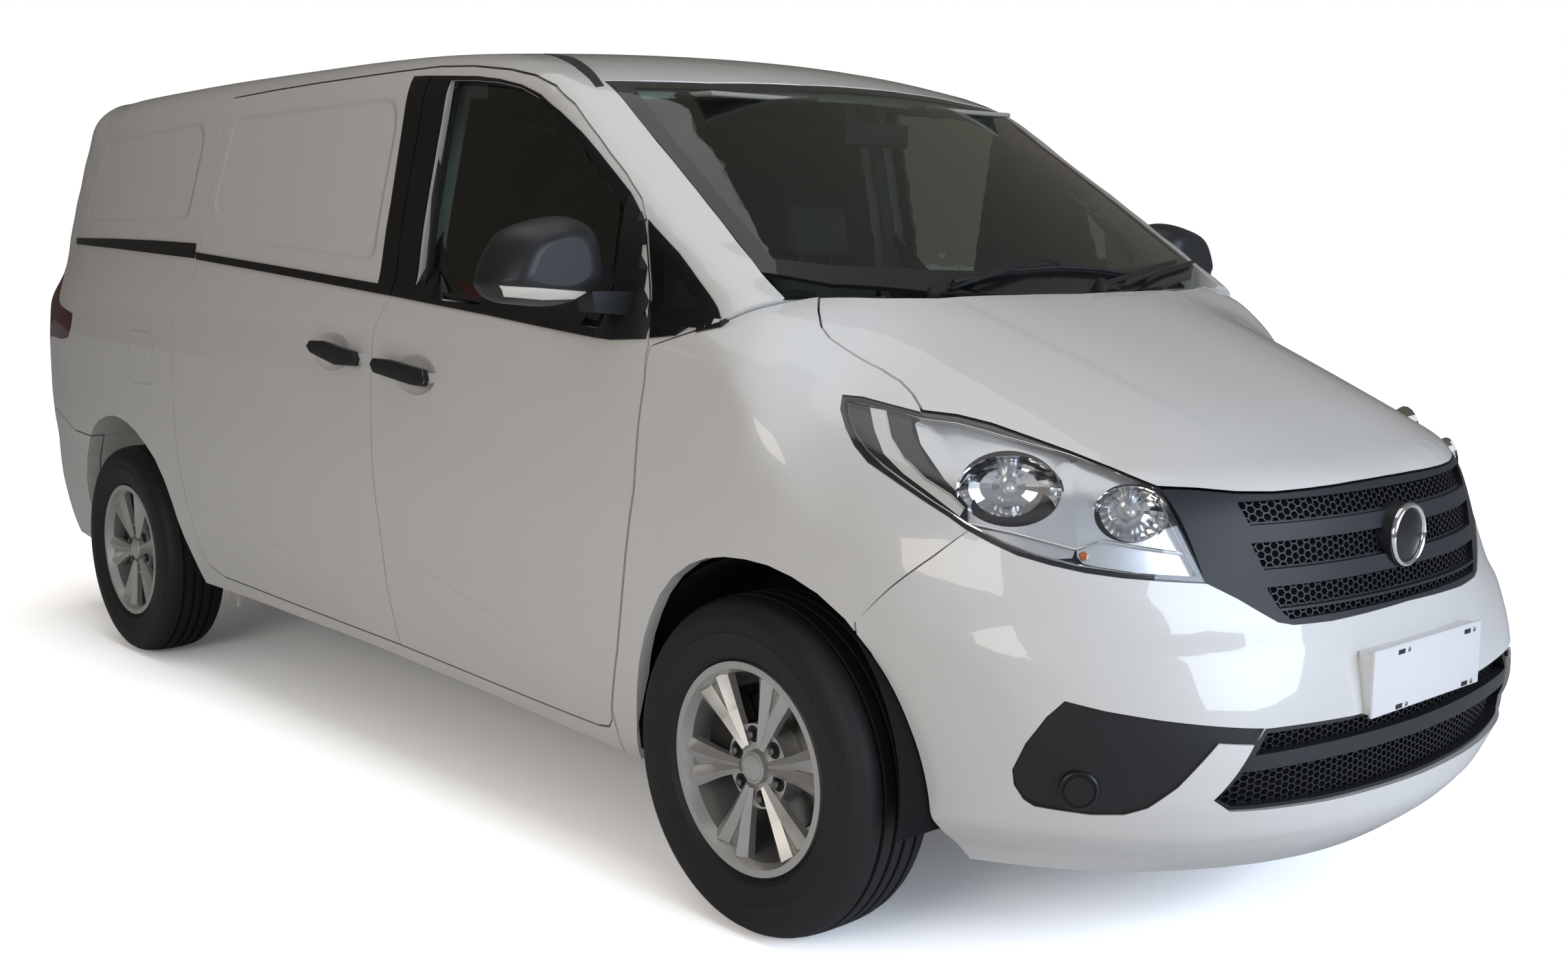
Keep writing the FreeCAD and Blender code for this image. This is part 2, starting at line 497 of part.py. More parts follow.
lower = fascia(12, 40, 360, 570, 12).common(rear_prism(LOWER_GRILLE, -SEAT_FIT, 2000, 2800))
lower = lower.cut([rear_prism(row, 0, 2000, 2800) for row in LOWER_ROWS])
parts["lower_grille"] = biggest(lower)
fog = fascia(6, 40, 360, 620, 14).common(lamp_prism(FOG, -SEAT_FIT))
fog = fog.cut(rear_prism(LOWER_GRILLE, SEAT_FIT, 2000, 2800))
fog_u, fog_z, fog_r = FOG_COVER
fog = fog.fuse(cyl(tuple(nose_point(fog_u, fog_z, -20)), LAMP_FWD, fog_r, 22))
parts["fog_surround_right"] = biggest(fog)


# Tail
def rear_slab(d0, d1, z0, z1, rows, half):
    def sheet(level):
        return [[on_ray(skin_cabin, (-1500, 0, z), (-math.cos(a), math.sin(a), 0), -level, 20.0, 1500.0)
                 for a in spread(-half, half, 61)] for z in spread(z0, z1, rows)]
    return slab(sheet(d0), sheet(d1))


tail_slab = rear_slab(0, 50, 650, 1838, 36, math.radians(44))
tailgate = tail_slab.common(rear_prism(TAILGATE, -GAP / 2)).cut(rear_prism(TAILGATE_WINDOW))
tailgate = tailgate.cut(cyl((TAILGATE_AXIS[0], -ROOF_SIDE_Y, TAILGATE_AXIS[1]), (0, 1, 0), HINGE_RELIEF_R,
                            2 * ROOF_SIDE_Y))
parts["tailgate"] = biggest(tailgate)
tail_pane = rear_slab(4, 9, 1300, 1780, 16, math.radians(42))
parts["tailgate_glass"] = biggest(tail_pane.common(rear_prism(TAILGATE_WINDOW)))
bumper_side_rear = [(-2900, 200)] + BUMPER_LINE + [(-1700, 200)]
rear_bumper = rear_slab(0, 45, 305, 800, 24, math.radians(74)).common(prism_xz(bumper_side_rear, -1200, 1200))
rear_bumper = rear_bumper.cut([arch_rear, mirrored(arch_rear), rear_prism(TAILGATE, GAP / 2)])
parts["rear_bumper"] = biggest(rear_bumper)

# Glass
glass_stations = [(x, 0.0) for x in spread(250, 1700, 26)]
parts["door_glass_right"] = biggest(shell_fan(skin_cabin, glass_stations, 900, spread(-1.7, -0.6, 26), 18, 23)
                                    .common(side_prism(DOOR_WINDOW)))
screen_plan = [(836, -686), (1481, -765), (1560, -640), (1645, -400), (1685, -190), (1697, 0)]
screen_top = [(932, -448), (984, -200), (994, 0)]
screen = screen_plan + [(x, -y) for x, y in reversed(screen_plan[:-1])]
screen += [(x, -y) for x, y in screen_top] + [(x, y) for x, y in reversed(screen_top[:-1])]
screen_slab = shell_fan(skin_cabin, glass_stations, 700, spread(-1.1, 1.1, 45), 2, 8)
parts["windscreen"] = biggest(screen_slab.common(prism_xy(screen, 1250, 2000)))
cowl_pts = [(1500, -741), (1572, -640), (1655, -400), (1696, -190), (1707, 0), (1696, 190), (1655, 400), (1572, 640),
            (1500, 741), (1560, 690), (1630, 560), (1694, 380), (1729, 190), (1739, 0), (1729, -190), (1694, -380),
            (1630, -560), (1560, -690)]
parts["cowl"] = prism_xy(cowl_pts, 1190, 1240)

# Floor and structure
FLOOR_TOP = 600.0
FLOOR_UNDER = 560.0
MAT_T = 3.0
SPARE = (-2120.0, 330.0, 180.0)
floor = [box(-2380, 250, -800, 800, FLOOR_UNDER, FLOOR_TOP), box(220, 250, -800, 800, 430, FLOOR_TOP),
         box(-2150, 100, -600, 600, FLOOR_TOP, FLOOR_TOP + MAT_T), box(220, 1190, -800, 800, 430, 470),
         prism_xz([(1180, 430), (1420, 690), (1420, 740), (1180, 470)], -600, 600), box(1400, 1430, -600, 600, 690, 1190),
         box(-2480, 1240, -460, -380, 380, 470), box(-2480, 1240, 380, 460, 380, 470),
         box(-2480, -2300, -460, -380, 380, 565), box(-2480, -2300, 380, 460, 380, 565),
         box(1800, 1900, -341, -280, 500, 600), box(1800, 1900, 280, 341, 500, 600),
         box(1180, 2340, -430, -340, 430, 540), box(1180, 2340, 340, 430, 430, 540),
         box(2330, 2370, -520, 520, 400, 700), box(-2480, -2440, -480, 480, 380, FLOOR_TOP)]
floor += [box(x, x + 70, -780, 780, 440, 570) for x in (-2050, -1750, -1350, -900, -400, 100)]
pan = fuse(*floor)
for s_y in (-1, 1):
    wheel_room = sorted((s_y * (HOUSE_WALL_Y - SEAT_FIT), s_y * 900))
    pan = pan.cut(box(-2050, -950, wheel_room[0], wheel_room[1], 300, 700))
    spring_room = sorted((s_y * 522, s_y * 598))
    pan = pan.cut(box(-2310, -860, spring_room[0], spring_room[1], 300, FLOOR_UNDER))
pan = pan.cut(box(REAR_AXLE_X - 160, REAR_AXLE_X + 160, -520, 520, 300, AXLE_Z + 62))
pan = pan.cut(Part.makeSphere(150, V(REAR_AXLE_X, 0, AXLE_Z)))
pan = pan.cut(cyl((SPARE[0], 0, 300), (0, 0, 1), SPARE[1] + 6, FLOOR_UNDER - 300))


def bracket(skin, level, y, z, x_from, sign):
    """Small block from x_from out to just inside a wall whose inner face lies at that level."""
    ends = [on_ray(skin, (0, y + dy, z + dz), (sign, 0, 0), -level - SEAT_FIT, 1500.0, 3000.0).x
            for dy in (-20, 20) for dz in (-20, 20)]
    x_to = min(ends) if sign > 0 else max(ends)
    return box(min(x_from, x_to), max(x_from, x_to), y - 20, y + 20, z - 20, z + 20)


stays = [bracket(skin_cabin, 45, y, 500, -2450, -1) for y in (-300, 300)]
stays += [bracket(skin_front, 35, y, 620, 2350, 1) for y in (-300, 300)]
pan = fuse(pan, *stays)
parts["floor_pan"] = biggest(pan)
parts["engine_block"] = box(1560, 2150, -280, 280, 545, 1000)

# Seats, dash, wheel
def seat(y):
    cushion = box(480, 980, y - 240, y + 240, 640, 790)
    base = box(500, 960, y - 200, y + 200, 470, 641)
    back = prism_xz([(430, 700), (560, 700), (470, 1330), (350, 1330)], y - 230, y + 230)
    rest = prism_xz([(360, 1345), (450, 1345), (430, 1520), (350, 1520)], y - 130, y + 130)
    stalks = fuse(box(395, 410, y - 70, y - 55, 1320, 1350), box(395, 410, y + 55, y + 70, 1320, 1350))
    return fuse(base, cushion, back, rest, stalks)


parts["driver_seat"] = seat(-400)
parts["passenger_seat"] = seat(400)
DASH = [(1250, 900), (1400, 900), (1400, 1190), (1520, 1190), (1520, 1215), (1420, 1240), (1240, 1220),
        (1180, 1130)]
parts["dashboard"] = fuse(prism_xz(DASH, -700, 700), cyl((1190, -400, 1050), V(-0.82, 0, 0.57), 45, 34))
column = V(-0.82, 0, 0.57)
hub = V(1075, -400, 1130)
rim_wheel = Part.makeTorus(185, 16, hub, column)
parts["steering_wheel"] = fuse(rim_wheel, cyl(hub - column * 20, column, 45, 36),
                               cyl(hub, V(0, 1, 0), 11, 184), cyl(hub, V(0, -1, 0), 11, 184),
                               cyl(hub, V(-0.57, 0, -0.82), 11, 184), cyl(hub - column * 105.6, column, 22, 96))


# Wheels
def revolve_y(points, x, y, z):
    """Ring about the wheel's axle from radius and outward offset pairs; the right side's outside is -y."""
    w = Part.makePolygon([V(x, y - o, z + r) for r, o in points] + [V(x, y - points[0][1], z + points[0][0])])
    return Part.Face(w).revolve(V(x, y, z), V(0, 1, 0), 360)


# Outer half of a tyre's section from bead to tread: radius, place outwards
TYRE_HALF = [(206, 84), (222, 84), (228, 92), (262, 104), (300, TYRE_HALF_W), (330, 98), (346, 84), (TYRE_R, 60)]


def tyre(x):
    inner_half = [(r, -o) for r, o in reversed(TYRE_HALF)]
    return revolve_y(TYRE_HALF + inner_half, x, -TRACK_HALF, AXLE_Z)


SPOKES = 6
FIRST_SPOKE = 10.0
# Arm of a spoke: radius, sideways place, width, and how far its ridge and its edges stand outwards
ARM = [(45, 5, 16, 72, 66), (120, 15, 30, 80, 66), (196, 31, 46, 84, 70)]
ARM_BACK = 50.0
WEB = [(60, 14), (199, 40)]
WEB_T = 12.0
DISC_R = 145.0


def arm(side):
    """One arm of a spoke: a bar with a ridge along its outside that leans away from the spoke's middle."""
    wires = []
    for r, place, width, ridge, edge in ARM:
        m = side * place
        section = [(m - width / 2, ARM_BACK), (m + width / 2, ARM_BACK), (m + width / 2, edge), (m, ridge),
                   (m - width / 2, edge)]
        points = [V(FRONT_AXLE_X + across, -TRACK_HALF - out, AXLE_Z + r) for across, out in section]
        wires.append(Part.makePolygon(points + points[:1]))
    return Part.makeLoft(wires, True, True)


def wheel():
    """Cast wheel at the front right: rim, hub with the brake disc behind it, and spokes of two arms and a web."""
    rim = revolve_y([(221, -84.4), (205.5, -84.4), (205.5, 84.4), (221, 84.4), (221, 93), (206, 93), (196, 70),
                     (196, -80), (206, -90), (221, -90)], FRONT_AXLE_X, -TRACK_HALF, AXLE_Z)
    hub = revolve_y([(0, -20), (75, -20), (75, -10), (DISC_R, -10), (DISC_R, 6), (88, 6), (88, 58), (36, 58), (34, 72),
                     (0, 72)], FRONT_AXLE_X, -TRACK_HALF, AXLE_Z)
    (r0, w0), (r1, w1) = WEB
    corners = [V(FRONT_AXLE_X + w, -TRACK_HALF - ARM_BACK, AXLE_Z + r)
               for w, r in ((-w0, r0), (w0, r0), (w1, r1), (-w1, r1), (-w0, r0))]
    spoke = arm(-1).fuse([arm(1), Part.Face(Part.makePolygon(corners)).extrude(V(0, -WEB_T, 0))])
    spokes = []
    for k in range(SPOKES):
        turned = spoke.copy()
        turned.rotate(V(FRONT_AXLE_X, 0, AXLE_Z), V(0, 1, 0), 90 - FIRST_SPOKE - 360 / SPOKES * k)
        spokes.append(turned)
    return rim.fuse([hub] + spokes).removeSplitter()


front_wheel = wheel()
for place, x in (("front", FRONT_AXLE_X), ("rear", REAR_AXLE_X)):
    parts["tyre_%s_right" % place] = tyre(x)
    parts["wheel_%s_right" % place] = front_wheel.translated(V(x - FRONT_AXLE_X, 0, 0))

CALIPER_R = (96.0, 151.0, 172.0)
CALIPER_ANGLES = (124.0, 180.0)
CALIPER_ARM = [(-10, -20), (10, 60), (-62, 96), (-112, 60), (-104, 0), (-40, -30)]


def sector(x, r0, r1, o0, o1):
    """Ring sector about a right wheel's axle, behind it and above."""
    start, end = CALIPER_ANGLES
    w = Part.makePolygon([V(x + r, -TRACK_HALF - o, AXLE_Z)
                          for r, o in ((r0, o0), (r1, o0), (r1, o1), (r0, o1), (r0, o0))])
    piece = Part.Face(w).revolve(V(x, -TRACK_HALF, AXLE_Z), V(0, -1, 0), end - start)
    piece.rotate(V(x, -TRACK_HALF, AXLE_Z), V(0, -1, 0), start)
    return piece


def caliper(x):
    """Two jaws beside the brake disc, a bridge over its rim, and the arm that carries them."""
    inside, under_bridge, outside = CALIPER_R
    carrier = prism_xz([(x + dx, AXLE_Z + dz) for dx, dz in CALIPER_ARM], -TRACK_HALF + 44, -TRACK_HALF + 58)
    return [sector(x, inside, outside, 12, 42), sector(x, inside, outside, -46, -16),
            sector(x, under_bridge, outside, -46, 42), carrier]


KINGPIN_Y = 775.0
HUB_INNER_Y = TRACK_HALF - 20
kn = fuse(cyl((FRONT_AXLE_X, -KINGPIN_Y, AXLE_Z), (0, -1, 0), 34, HUB_INNER_Y - 0.3 - KINGPIN_Y),
          cyl((FRONT_AXLE_X, -KINGPIN_Y, AXLE_Z - 95), (0, 0, 1), 32, 190), *caliper(FRONT_AXLE_X))
parts["knuckle_right"] = kn
arms = [box(FRONT_AXLE_X - 130, FRONT_AXLE_X + 130, -400, 400, 235, 300)]
for s in (-1, 1):
    low, top = AXLE_Z - 95.3, AXLE_Z + 95.3
    for half_x, y_in, y_out, z0, z1 in ((30, 380, 800, low - 28, low), (30, 440, 790, top + 55, top + 80),
                                        (60, 430.3, 480, low - 28, top + 80)):
        y0, y1 = sorted((s * y_in, s * y_out))
        arms.append(box(FRONT_AXLE_X - half_x, FRONT_AXLE_X + half_x, y0, y1, z0, z1))
    arms.append(cyl((FRONT_AXLE_X, s * KINGPIN_Y, top), (0, 0, 1), 30, 60))
parts["front_suspension"] = fuse(*arms)
axle = [cyl((REAR_AXLE_X, -HUB_INNER_Y + 0.3, AXLE_Z), (0, 1, 0), 38, 2 * HUB_INNER_Y - 0.6),
        Part.makeSphere(140, V(REAR_AXLE_X, 0, AXLE_Z))]
for s in (-1, 1):
    y0, y1 = s * 560 - 32, s * 560 + 32
    axle.append(prism_xz([(-2260, 500), (-1900, 400), (-1574, 365), (-1250, 400), (-900, 500), (-900, 520), (-1250, 430),
                          (-1574, 395), (-1900, 430), (-2260, 520)], y0, y1))
    axle.append(box(-2290, -2230, y0, y1, 500, FLOOR_UNDER - SEAT_FIT))
    axle.append(box(-930, -870, y0, y1, 500, FLOOR_UNDER - SEAT_FIT))
rear_calipers = caliper(REAR_AXLE_X)
parts["rear_axle"] = fuse(*axle, *rear_calipers, *[mirrored(piece) for piece in rear_calipers])
parts["fuel_tank"] = box(-700, 100, 480, 760, 290, 440 - SEAT_FIT)
parts["exhaust"] = fuse(cyl((-1300, -300, 395), (1, 0, 0), 28, 2850), cyl((-810, -300, 395), (1, 0, 0), 72, 390),
                        cyl((-250, -300, 395), (0, 0, 1), 10, FLOOR_UNDER - SEAT_FIT - 395),
                        cyl((-1150, -300, 395), (0, 0, 1), 10, FLOOR_UNDER - SEAT_FIT - 395))
parts["spare_wheel"] = cyl((SPARE[0], 0, FLOOR_UNDER - SEAT_FIT - SPARE[2]), (0, 0, 1), SPARE[1], SPARE[2])

# Mirrors: outline of the shell seen from the front, and its share of that size along x
MIRROR = [(-1242, 1330), (-1217, 1387), (-1181, 1429), (-1116, 1452), (-1046, 1461), (-990, 1440), (-968, 1382),
          (-966, 1330), (-1046, 1280), (-1169, 1281), (-1224, 1297)]
MIRROR_MIDDLE = (-1105.0, 1365.0)
MIRROR_SHARES = [(1128, 0.96), (1150, 1.0), (1200, 0.95), (1240, 0.78), (1258, 0.5)]
MIRROR_FOOT = [(-1010, 1306), (-876, 1303), (-850, 1284), (-885, 1250), (-999, 1262)]


def mirror_wire(x, share):
    y0, z0 = MIRROR_MIDDLE
    curve = Part.BSplineCurve()
    curve.interpolate([V(x, y0 + (y - y0) * share, z0 + (z - z0) * share) for y, z in MIRROR], PeriodicFlag=True)
    return Part.Wire(curve.toShape())


shell = Part.makeLoft([mirror_wire(x, share) for x, share in MIRROR_SHARES], True)
back_x = MIRROR_SHARES[0][0]
glass_room = Part.Face(mirror_wire(back_x - 5, MIRROR_SHARES[0][1] * 0.88)).extrude(V(17, 0, 0))
foot = prism_yz(MIRROR_FOOT, 1165, 1225)
mirror = fuse(shell.cut(glass_room), foot)
parts["mirror_right"] = biggest(mirror.cut([parts["front_door_right"], parts["door_glass_right"]]))

rights = [n for n in parts if n.endswith("_right")]
for name in rights:
    parts[name[:-5] + "left"] = mirrored(parts[name])

for name, shape in parts.items():
    if len(shape.Solids) != 1 or not shape.isValid():
        print("not one valid solid:", name)
    shape.exportStep("parts/" + name + ".step")
print(len(parts), "nodes")
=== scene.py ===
# %% [markdown]
# # A white panel van
#
# Sheet metal, floor and running gear come in as CAD nodes. This notebook gives them their finishes and
# adds what a model maker would fit by hand: trim, glass borders, tread, lamps, grille mesh, handles,
# wipers, cloth seats. Everything is in metres: X forward, Y to the van's left, Z up, origin on the ground
# below the middle of the body.

# %% Load the frame
import math

import bmesh
import bpy
from mathutils import Matrix, Vector
from mathutils.bvhtree import BVHTree


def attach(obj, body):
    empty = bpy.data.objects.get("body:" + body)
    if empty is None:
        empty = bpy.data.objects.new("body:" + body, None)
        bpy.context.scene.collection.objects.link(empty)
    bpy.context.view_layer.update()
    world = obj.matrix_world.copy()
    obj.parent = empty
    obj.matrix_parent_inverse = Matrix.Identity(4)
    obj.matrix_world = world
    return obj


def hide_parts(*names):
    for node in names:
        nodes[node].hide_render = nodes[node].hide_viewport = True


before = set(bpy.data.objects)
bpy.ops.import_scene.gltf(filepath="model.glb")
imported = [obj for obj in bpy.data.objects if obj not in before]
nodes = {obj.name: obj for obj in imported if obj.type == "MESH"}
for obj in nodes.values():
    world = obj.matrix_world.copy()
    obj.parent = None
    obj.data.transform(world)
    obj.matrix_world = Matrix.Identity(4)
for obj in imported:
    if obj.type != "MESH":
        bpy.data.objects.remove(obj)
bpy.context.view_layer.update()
scene = bpy.context.scene
scene.view_settings.view_transform = "Standard"

# %% [markdown]
# ## Camera
#
# The viewpoint stands a little under eye height, off the right front corner. Place, direction and focal
# length come from the wheelbase, the wheel centres and the body lines. The two shifts hold the lens axis's
# offset.

# %% Camera
PICTURE = (2420, 1512)
FOCAL_PIXELS = 2642
AXIS_PIXEL = (1169, 759)
SENSOR = 36.0
FAR_CLIP = 200
VIEWPOINT = (4.146, -3.129, 1.425)
YAW, PITCH, ROLL = math.radians(138.53), math.radians(-8.55), math.radians(0.25)

camera_data = bpy.data.cameras.new("camera")
camera_data.sensor_width = SENSOR
camera_data.lens = FOCAL_PIXELS / PICTURE[0] * SENSOR
camera_data.shift_x = (PICTURE[0] / 2 - AXIS_PIXEL[0]) / PICTURE[0]
camera_data.shift_y = (AXIS_PIXEL[1] - PICTURE[1] / 2) / PICTURE[0]
camera_data.clip_end = FAR_CLIP
camera = bpy.data.objects.new("camera", camera_data)
scene.collection.objects.link(camera)
scene.camera = camera

ahead = Vector((math.cos(PITCH) * math.cos(YAW), math.cos(PITCH) * math.sin(YAW), math.sin(PITCH)))
right = ahead.cross(Vector((0, 0, 1))).normalized()
up = right.cross(ahead)
right, up = math.cos(ROLL) * right + math.sin(ROLL) * up, math.cos(ROLL) * up - math.sin(ROLL) * right
camera.matrix_world = Matrix.Translation(VIEWPOINT) @ Matrix((right, up, -ahead)).transposed().to_4x4()
print("lens", round(camera_data.lens, 2))

# %% [markdown]
# ## Helpers for materials
#
# Each finish is a small node tree. Colours are the hex values that a screen shows, turned into linear
# ones.

# %% Colour and node helpers
def linear(code):
    channels = [int(code[i:i + 2], 16) / 255 for i in (0, 2, 4)]
    return tuple(c / 12.92 if c < 0.04045 else ((c + 0.055) / 1.055) ** 2.4 for c in channels) + (1.0,)


def add_node(tree, kind, sockets=None, **settings):
    node = tree.nodes.new("ShaderNode" + kind)
    for name, value in settings.items():
        setattr(node, name, value)
    for socket, value in (sockets or {}).items():
        if isinstance(value, bpy.types.NodeSocket):
            tree.links.new(value, node.inputs[socket])
        else:
            node.inputs[socket].default_value = value
    return node


def maths(tree, operation, *values):
    return add_node(tree, "Math", dict(enumerate(values)), operation=operation).outputs[0]


def mixed(tree, factor, first, second):
    return add_node(tree, "MixShader", {0: factor, 1: first.outputs[0], 2: second.outputs[0]})


def show(tree, shader):
    output = next(n for n in tree.nodes if n.type == "OUTPUT_MATERIAL")
    tree.links.new(shader.outputs[0], output.inputs["Surface"])


def object_place(tree):
    return add_node(tree, "TexCoord").outputs["Object"]


def relief(tree, height, depth, strength=1.0, below=None):
    """A surface normal from a height, on top of the relief below where there is one."""
    sockets = {"Height": height, "Distance": depth, "Strength": strength}
    if below:
        sockets["Normal"] = below
    return add_node(tree, "Bump", sockets).outputs[0]


def new_finish(name, slot, **sockets):
    material = bpy.data.materials.new(name)
    material.use_nodes = True
    tree = material.node_tree
    tree.nodes.clear()
    shader = add_node(tree, "BsdfPrincipled", {k.replace("_", " "): v for k, v in sockets.items()})
    add_node(tree, "OutputMaterial", {"Surface": shader.outputs[0]})
    return material, tree, shader


def grain(tree, shader, size_mm, depth_mm, detail=2.0, below=None):
    """Fine surface relief, as a moulded or sprayed skin has, from noise with a real grain size."""
    sockets = {"Vector": object_place(tree), "Scale": 1000 / size_mm, "Detail": detail}
    noise = add_node(tree, "TexNoise", sockets)
    bump = relief(tree, noise.outputs["Fac"], depth_mm / 1000, 1.0, below)
    tree.links.new(bump, shader.inputs["Normal"])


# %% [markdown]
# ## White paint and the shapes pressed into it
#
# Car paint is a rough-ish pigment coat under a sharp clear one. The metal has pressings a few millimetres
# deep: a window shape in each sliding door and rear quarter, creases along the side, two folds in the
# bonnet. They are relief in the material, from distance fields: the smooth maximum of straight edges has
# round corners.

# %% Fields for pressings and creases
def plane_distance(tree, place, a, b, axes=(0, 2)):
    """Distance from the line a to b in the plane of two axes, positive to the left of it."""
    direction = Vector((b[0] - a[0], b[1] - a[1])).normalized()
    normal = [0.0, 0.0, 0.0]
    normal[axes[0]], normal[axes[1]] = -direction.y, direction.x
    dot = add_node(tree, "VectorMath", {0: place, 1: normal}, operation="DOT_PRODUCT")
    offset = -direction.y * a[0] + direction.x * a[1]
    return maths(tree, "SUBTRACT", dot.outputs["Value"], offset)


def outline_field(tree, place, points, rounding):
    """Negative inside the convex outline, which runs clockwise with x to the right and z up."""
    field = None
    for a, b in zip(points, points[1:] + points[:1]):
        edge = plane_distance(tree, place, a, b)
        field = edge if field is None else maths(tree, "SMOOTH_MAX", field, edge, rounding)
    return field


def step(tree, value, low, high, start, end, form="SMOOTHERSTEP"):
    sockets = {"Value": value, "From Min": low, "From Max": high, "To Min": start, "To Max": end}
    return add_node(tree, "MapRange", sockets, interpolation_type=form).outputs[0]


def joined(tree, values, operation="ADD"):
    result = values[0]
    for value in values[1:]:
        result = maths(tree, operation, result, value)
    return result


def fold(tree, place, a, b, height, near, far, fades, axes=(0, 2)):
    """A crease from a to b: the skin rises to the line over one width and falls behind it over another."""
    across = plane_distance(tree, place, a, b, axes)
    rise = step(tree, across, -near, 0.0, 0.0, 1.0)
    fall = step(tree, across, 0.0, far, 1.0, 0.0)
    along = plane_distance(tree, place, a, (a[0] + b[1] - a[1], a[1] - b[0] + a[0]), axes)
    length = math.hypot(b[0] - a[0], b[1] - a[1])
    start = step(tree, along, 0.0, fades[0], 0.0, 1.0)
    end = step(tree, along, length - fades[1], length, 1.0, 0.0)
    return joined(tree, [rise, fall, start, end, height], "MULTIPLY")


# %% Paint
SLIDE_PRESSING = [(-0.95, 1.49), (-0.90, 1.775), (0.075, 1.785), (0.115, 1.735), (0.105, 1.345),
                  (-0.64, 1.385)]
QUARTER_PRESSING = [(-2.11, 1.50), (-1.97, 1.745), (-1.13, 1.775), (-1.085, 1.725), (-1.115, 1.455),
                    (-2.09, 1.455)]
FUEL_FLAP = [(-1.402, 0.955), (-1.383, 1.111), (-1.215, 1.111), (-1.185, 1.085), (-1.198, 0.945),
             (-1.380, 0.943)]
PRESS_DEPTH, PRESS_WALL, PRESS_CORNER = 0.006, 0.022, 0.06
FLAP_GAP, FLAP_DEPTH, FLAP_CORNER = 0.003, 0.002, 0.02
SIDE_FOLDS = [((-1.15, 1.265), (0.62, 1.137), 0.0035, 0.10, 0.05, (0.35, 0.35)),
              ((-0.93, 0.60), (0.20, 0.43), 0.0050, 0.16, 0.03, (0.30, 0.25)),
              ((0.30, 0.60), (1.15, 0.42), 0.0050, 0.16, 0.03, (0.15, 0.30))]
BONNET_FOLDS = [((1.62, 0.42), (2.40, 0.30), 0.004, 0.05, 0.16, (0.15, 0.35)),
                ((2.40, -0.30), (1.62, -0.42), 0.004, 0.05, 0.16, (0.35, 0.15))]


def paint(name, side_relief=False, bonnet_relief=False):
    """Sprayed pigment under clear lacquer: the coat gives the sharp reflections, the base the even white."""
    material, tree, shader = new_finish(name, "white_paint", Base_Color=linear("E9E7E3"), Roughness=0.36,
                                        IOR=1.5, Coat_Weight=1.0, Coat_Roughness=0.03)
    place = object_place(tree)
    heights = []
    if side_relief:
        for points in (SLIDE_PRESSING, QUARTER_PRESSING):
            field = outline_field(tree, place, points, PRESS_CORNER)
            heights.append(step(tree, field, -PRESS_WALL, 0.0, -PRESS_DEPTH, 0.0))
        flap = maths(tree, "ABSOLUTE", outline_field(tree, place, FUEL_FLAP, FLAP_CORNER))
        heights.append(step(tree, flap, 0.0, FLAP_GAP, -FLAP_DEPTH, 0.0))
        heights += [fold(tree, place, *row) for row in SIDE_FOLDS]
    if bonnet_relief:
        heights += [fold(tree, place, *row, axes=(0, 1)) for row in BONNET_FOLDS]
    below = relief(tree, joined(tree, heights), 1.0) if heights else None
    grain(tree, shader, 9.0, 0.010, 1.0, below)
    return material


white_side = paint("sprayed_white_paint_on_the_sides", side_relief=True)
white_bonnet = paint("sprayed_white_paint_on_the_bonnet", bonnet_relief=True)
white = paint("sprayed_white_paint")
print("paint ready")


# %% [markdown]
# ## Plastics, rubber, metals and cloth
#
# What tells these apart is the width of the highlight and the grain, so each has its own, at a real size.

# %% Plastics, rubber and metals
def plain(name, slot, colour, roughness, grain_mm, depth_mm, **more):
    material, tree, shader = new_finish(name, slot, Base_Color=linear(colour), Roughness=roughness, **more)
    grain(tree, shader, grain_mm, depth_mm)
    return material


# Unpainted trim: dark, with a broad soft highlight and a leathery grain
trim_black = plain("moulded_black_polypropylene", "black_plastic", "1C1D1F", 0.55, 1.6, 0.10)
# Adhesive film on the door frames: smoother, so it mirrors the room faintly
film_black = plain("satin_black_film", "black_plastic", "131416", 0.30, 6.0, 0.01)
# Printed border behind the glass: black with the glass's own gloss on top
print_black = plain("black_ceramic_print", "glass", "0A0B0B", 0.45, 6.0, 0.002, Coat_Weight=0.7,
                           Coat_Roughness=0.02)
# Mirror shells: dark grey rather than black, finely grained
mirror_black = plain("grained_dark_abs", "black_plastic", "232427", 0.42, 2.0, 0.06)
# Grille bars: bluish dark grey, satin
grille_grey = plain("satin_grey_abs", "grille_plastic", "22252B", 0.50, 3.0, 0.02)
# Honeycomb: a lighter edge would read as metal, so it is the same plastic unpainted
mesh_black = plain("dull_black_abs", "grille_plastic", "25272A", 0.45, 3.0, 0.02)
# Black felt for the liners, which takes nearly all light; on the sheets behind the grille meshes and on
# the liners' inboard walls the same near-black is painted shade
felt_and_shade_black = plain("black_felt_and_painted_shade", "black_plastic", "08080A", 0.95, 4.0, 0.3)
# Tyre: dull black
rubber = plain("vulcanised_rubber", "rubber", "1D1D1E", 0.58, 2.5, 0.10)
# Wheels: lacquered cast metal, bright but not mirror-like
alloy = plain("silver_lacquered_cast_aluminium", "alloy", "C9C8C5", 0.36, 2.0, 0.01, Metallic=0.6,
                     Coat_Weight=0.5, Coat_Roughness=0.08)
# Brake discs and exhaust: turned steel with a fine grain
steel = plain("turned_brake_steel", "cast", "8F8D89", 0.35, 1.2, 0.03, Metallic=1.0)
# Zinc-plated bolts: darker than the wheel
zinc = plain("zinc_plated_steel", "alloy", "7E7E7C", 0.38, 1.5, 0.02, Metallic=1.0)
# Black dipped steel of the chassis; the same dark finish on the wheels' bolt wells and barrels is painted
# shade
chassis = plain("black_dipped_steel_and_painted_shade", "chassis", "232426", 0.6, 5.0, 0.1)
cast = plain("sand_cast_iron", "cast", "3A3936", 0.6, 3.0, 0.15, Metallic=0.6)
# Bright trim in lamps and on the grille ring
chrome = plain("chrome_plated_abs", "lamp_glass", "E6E7E8", 0.07, 30.0, 0.01, Metallic=1.0)
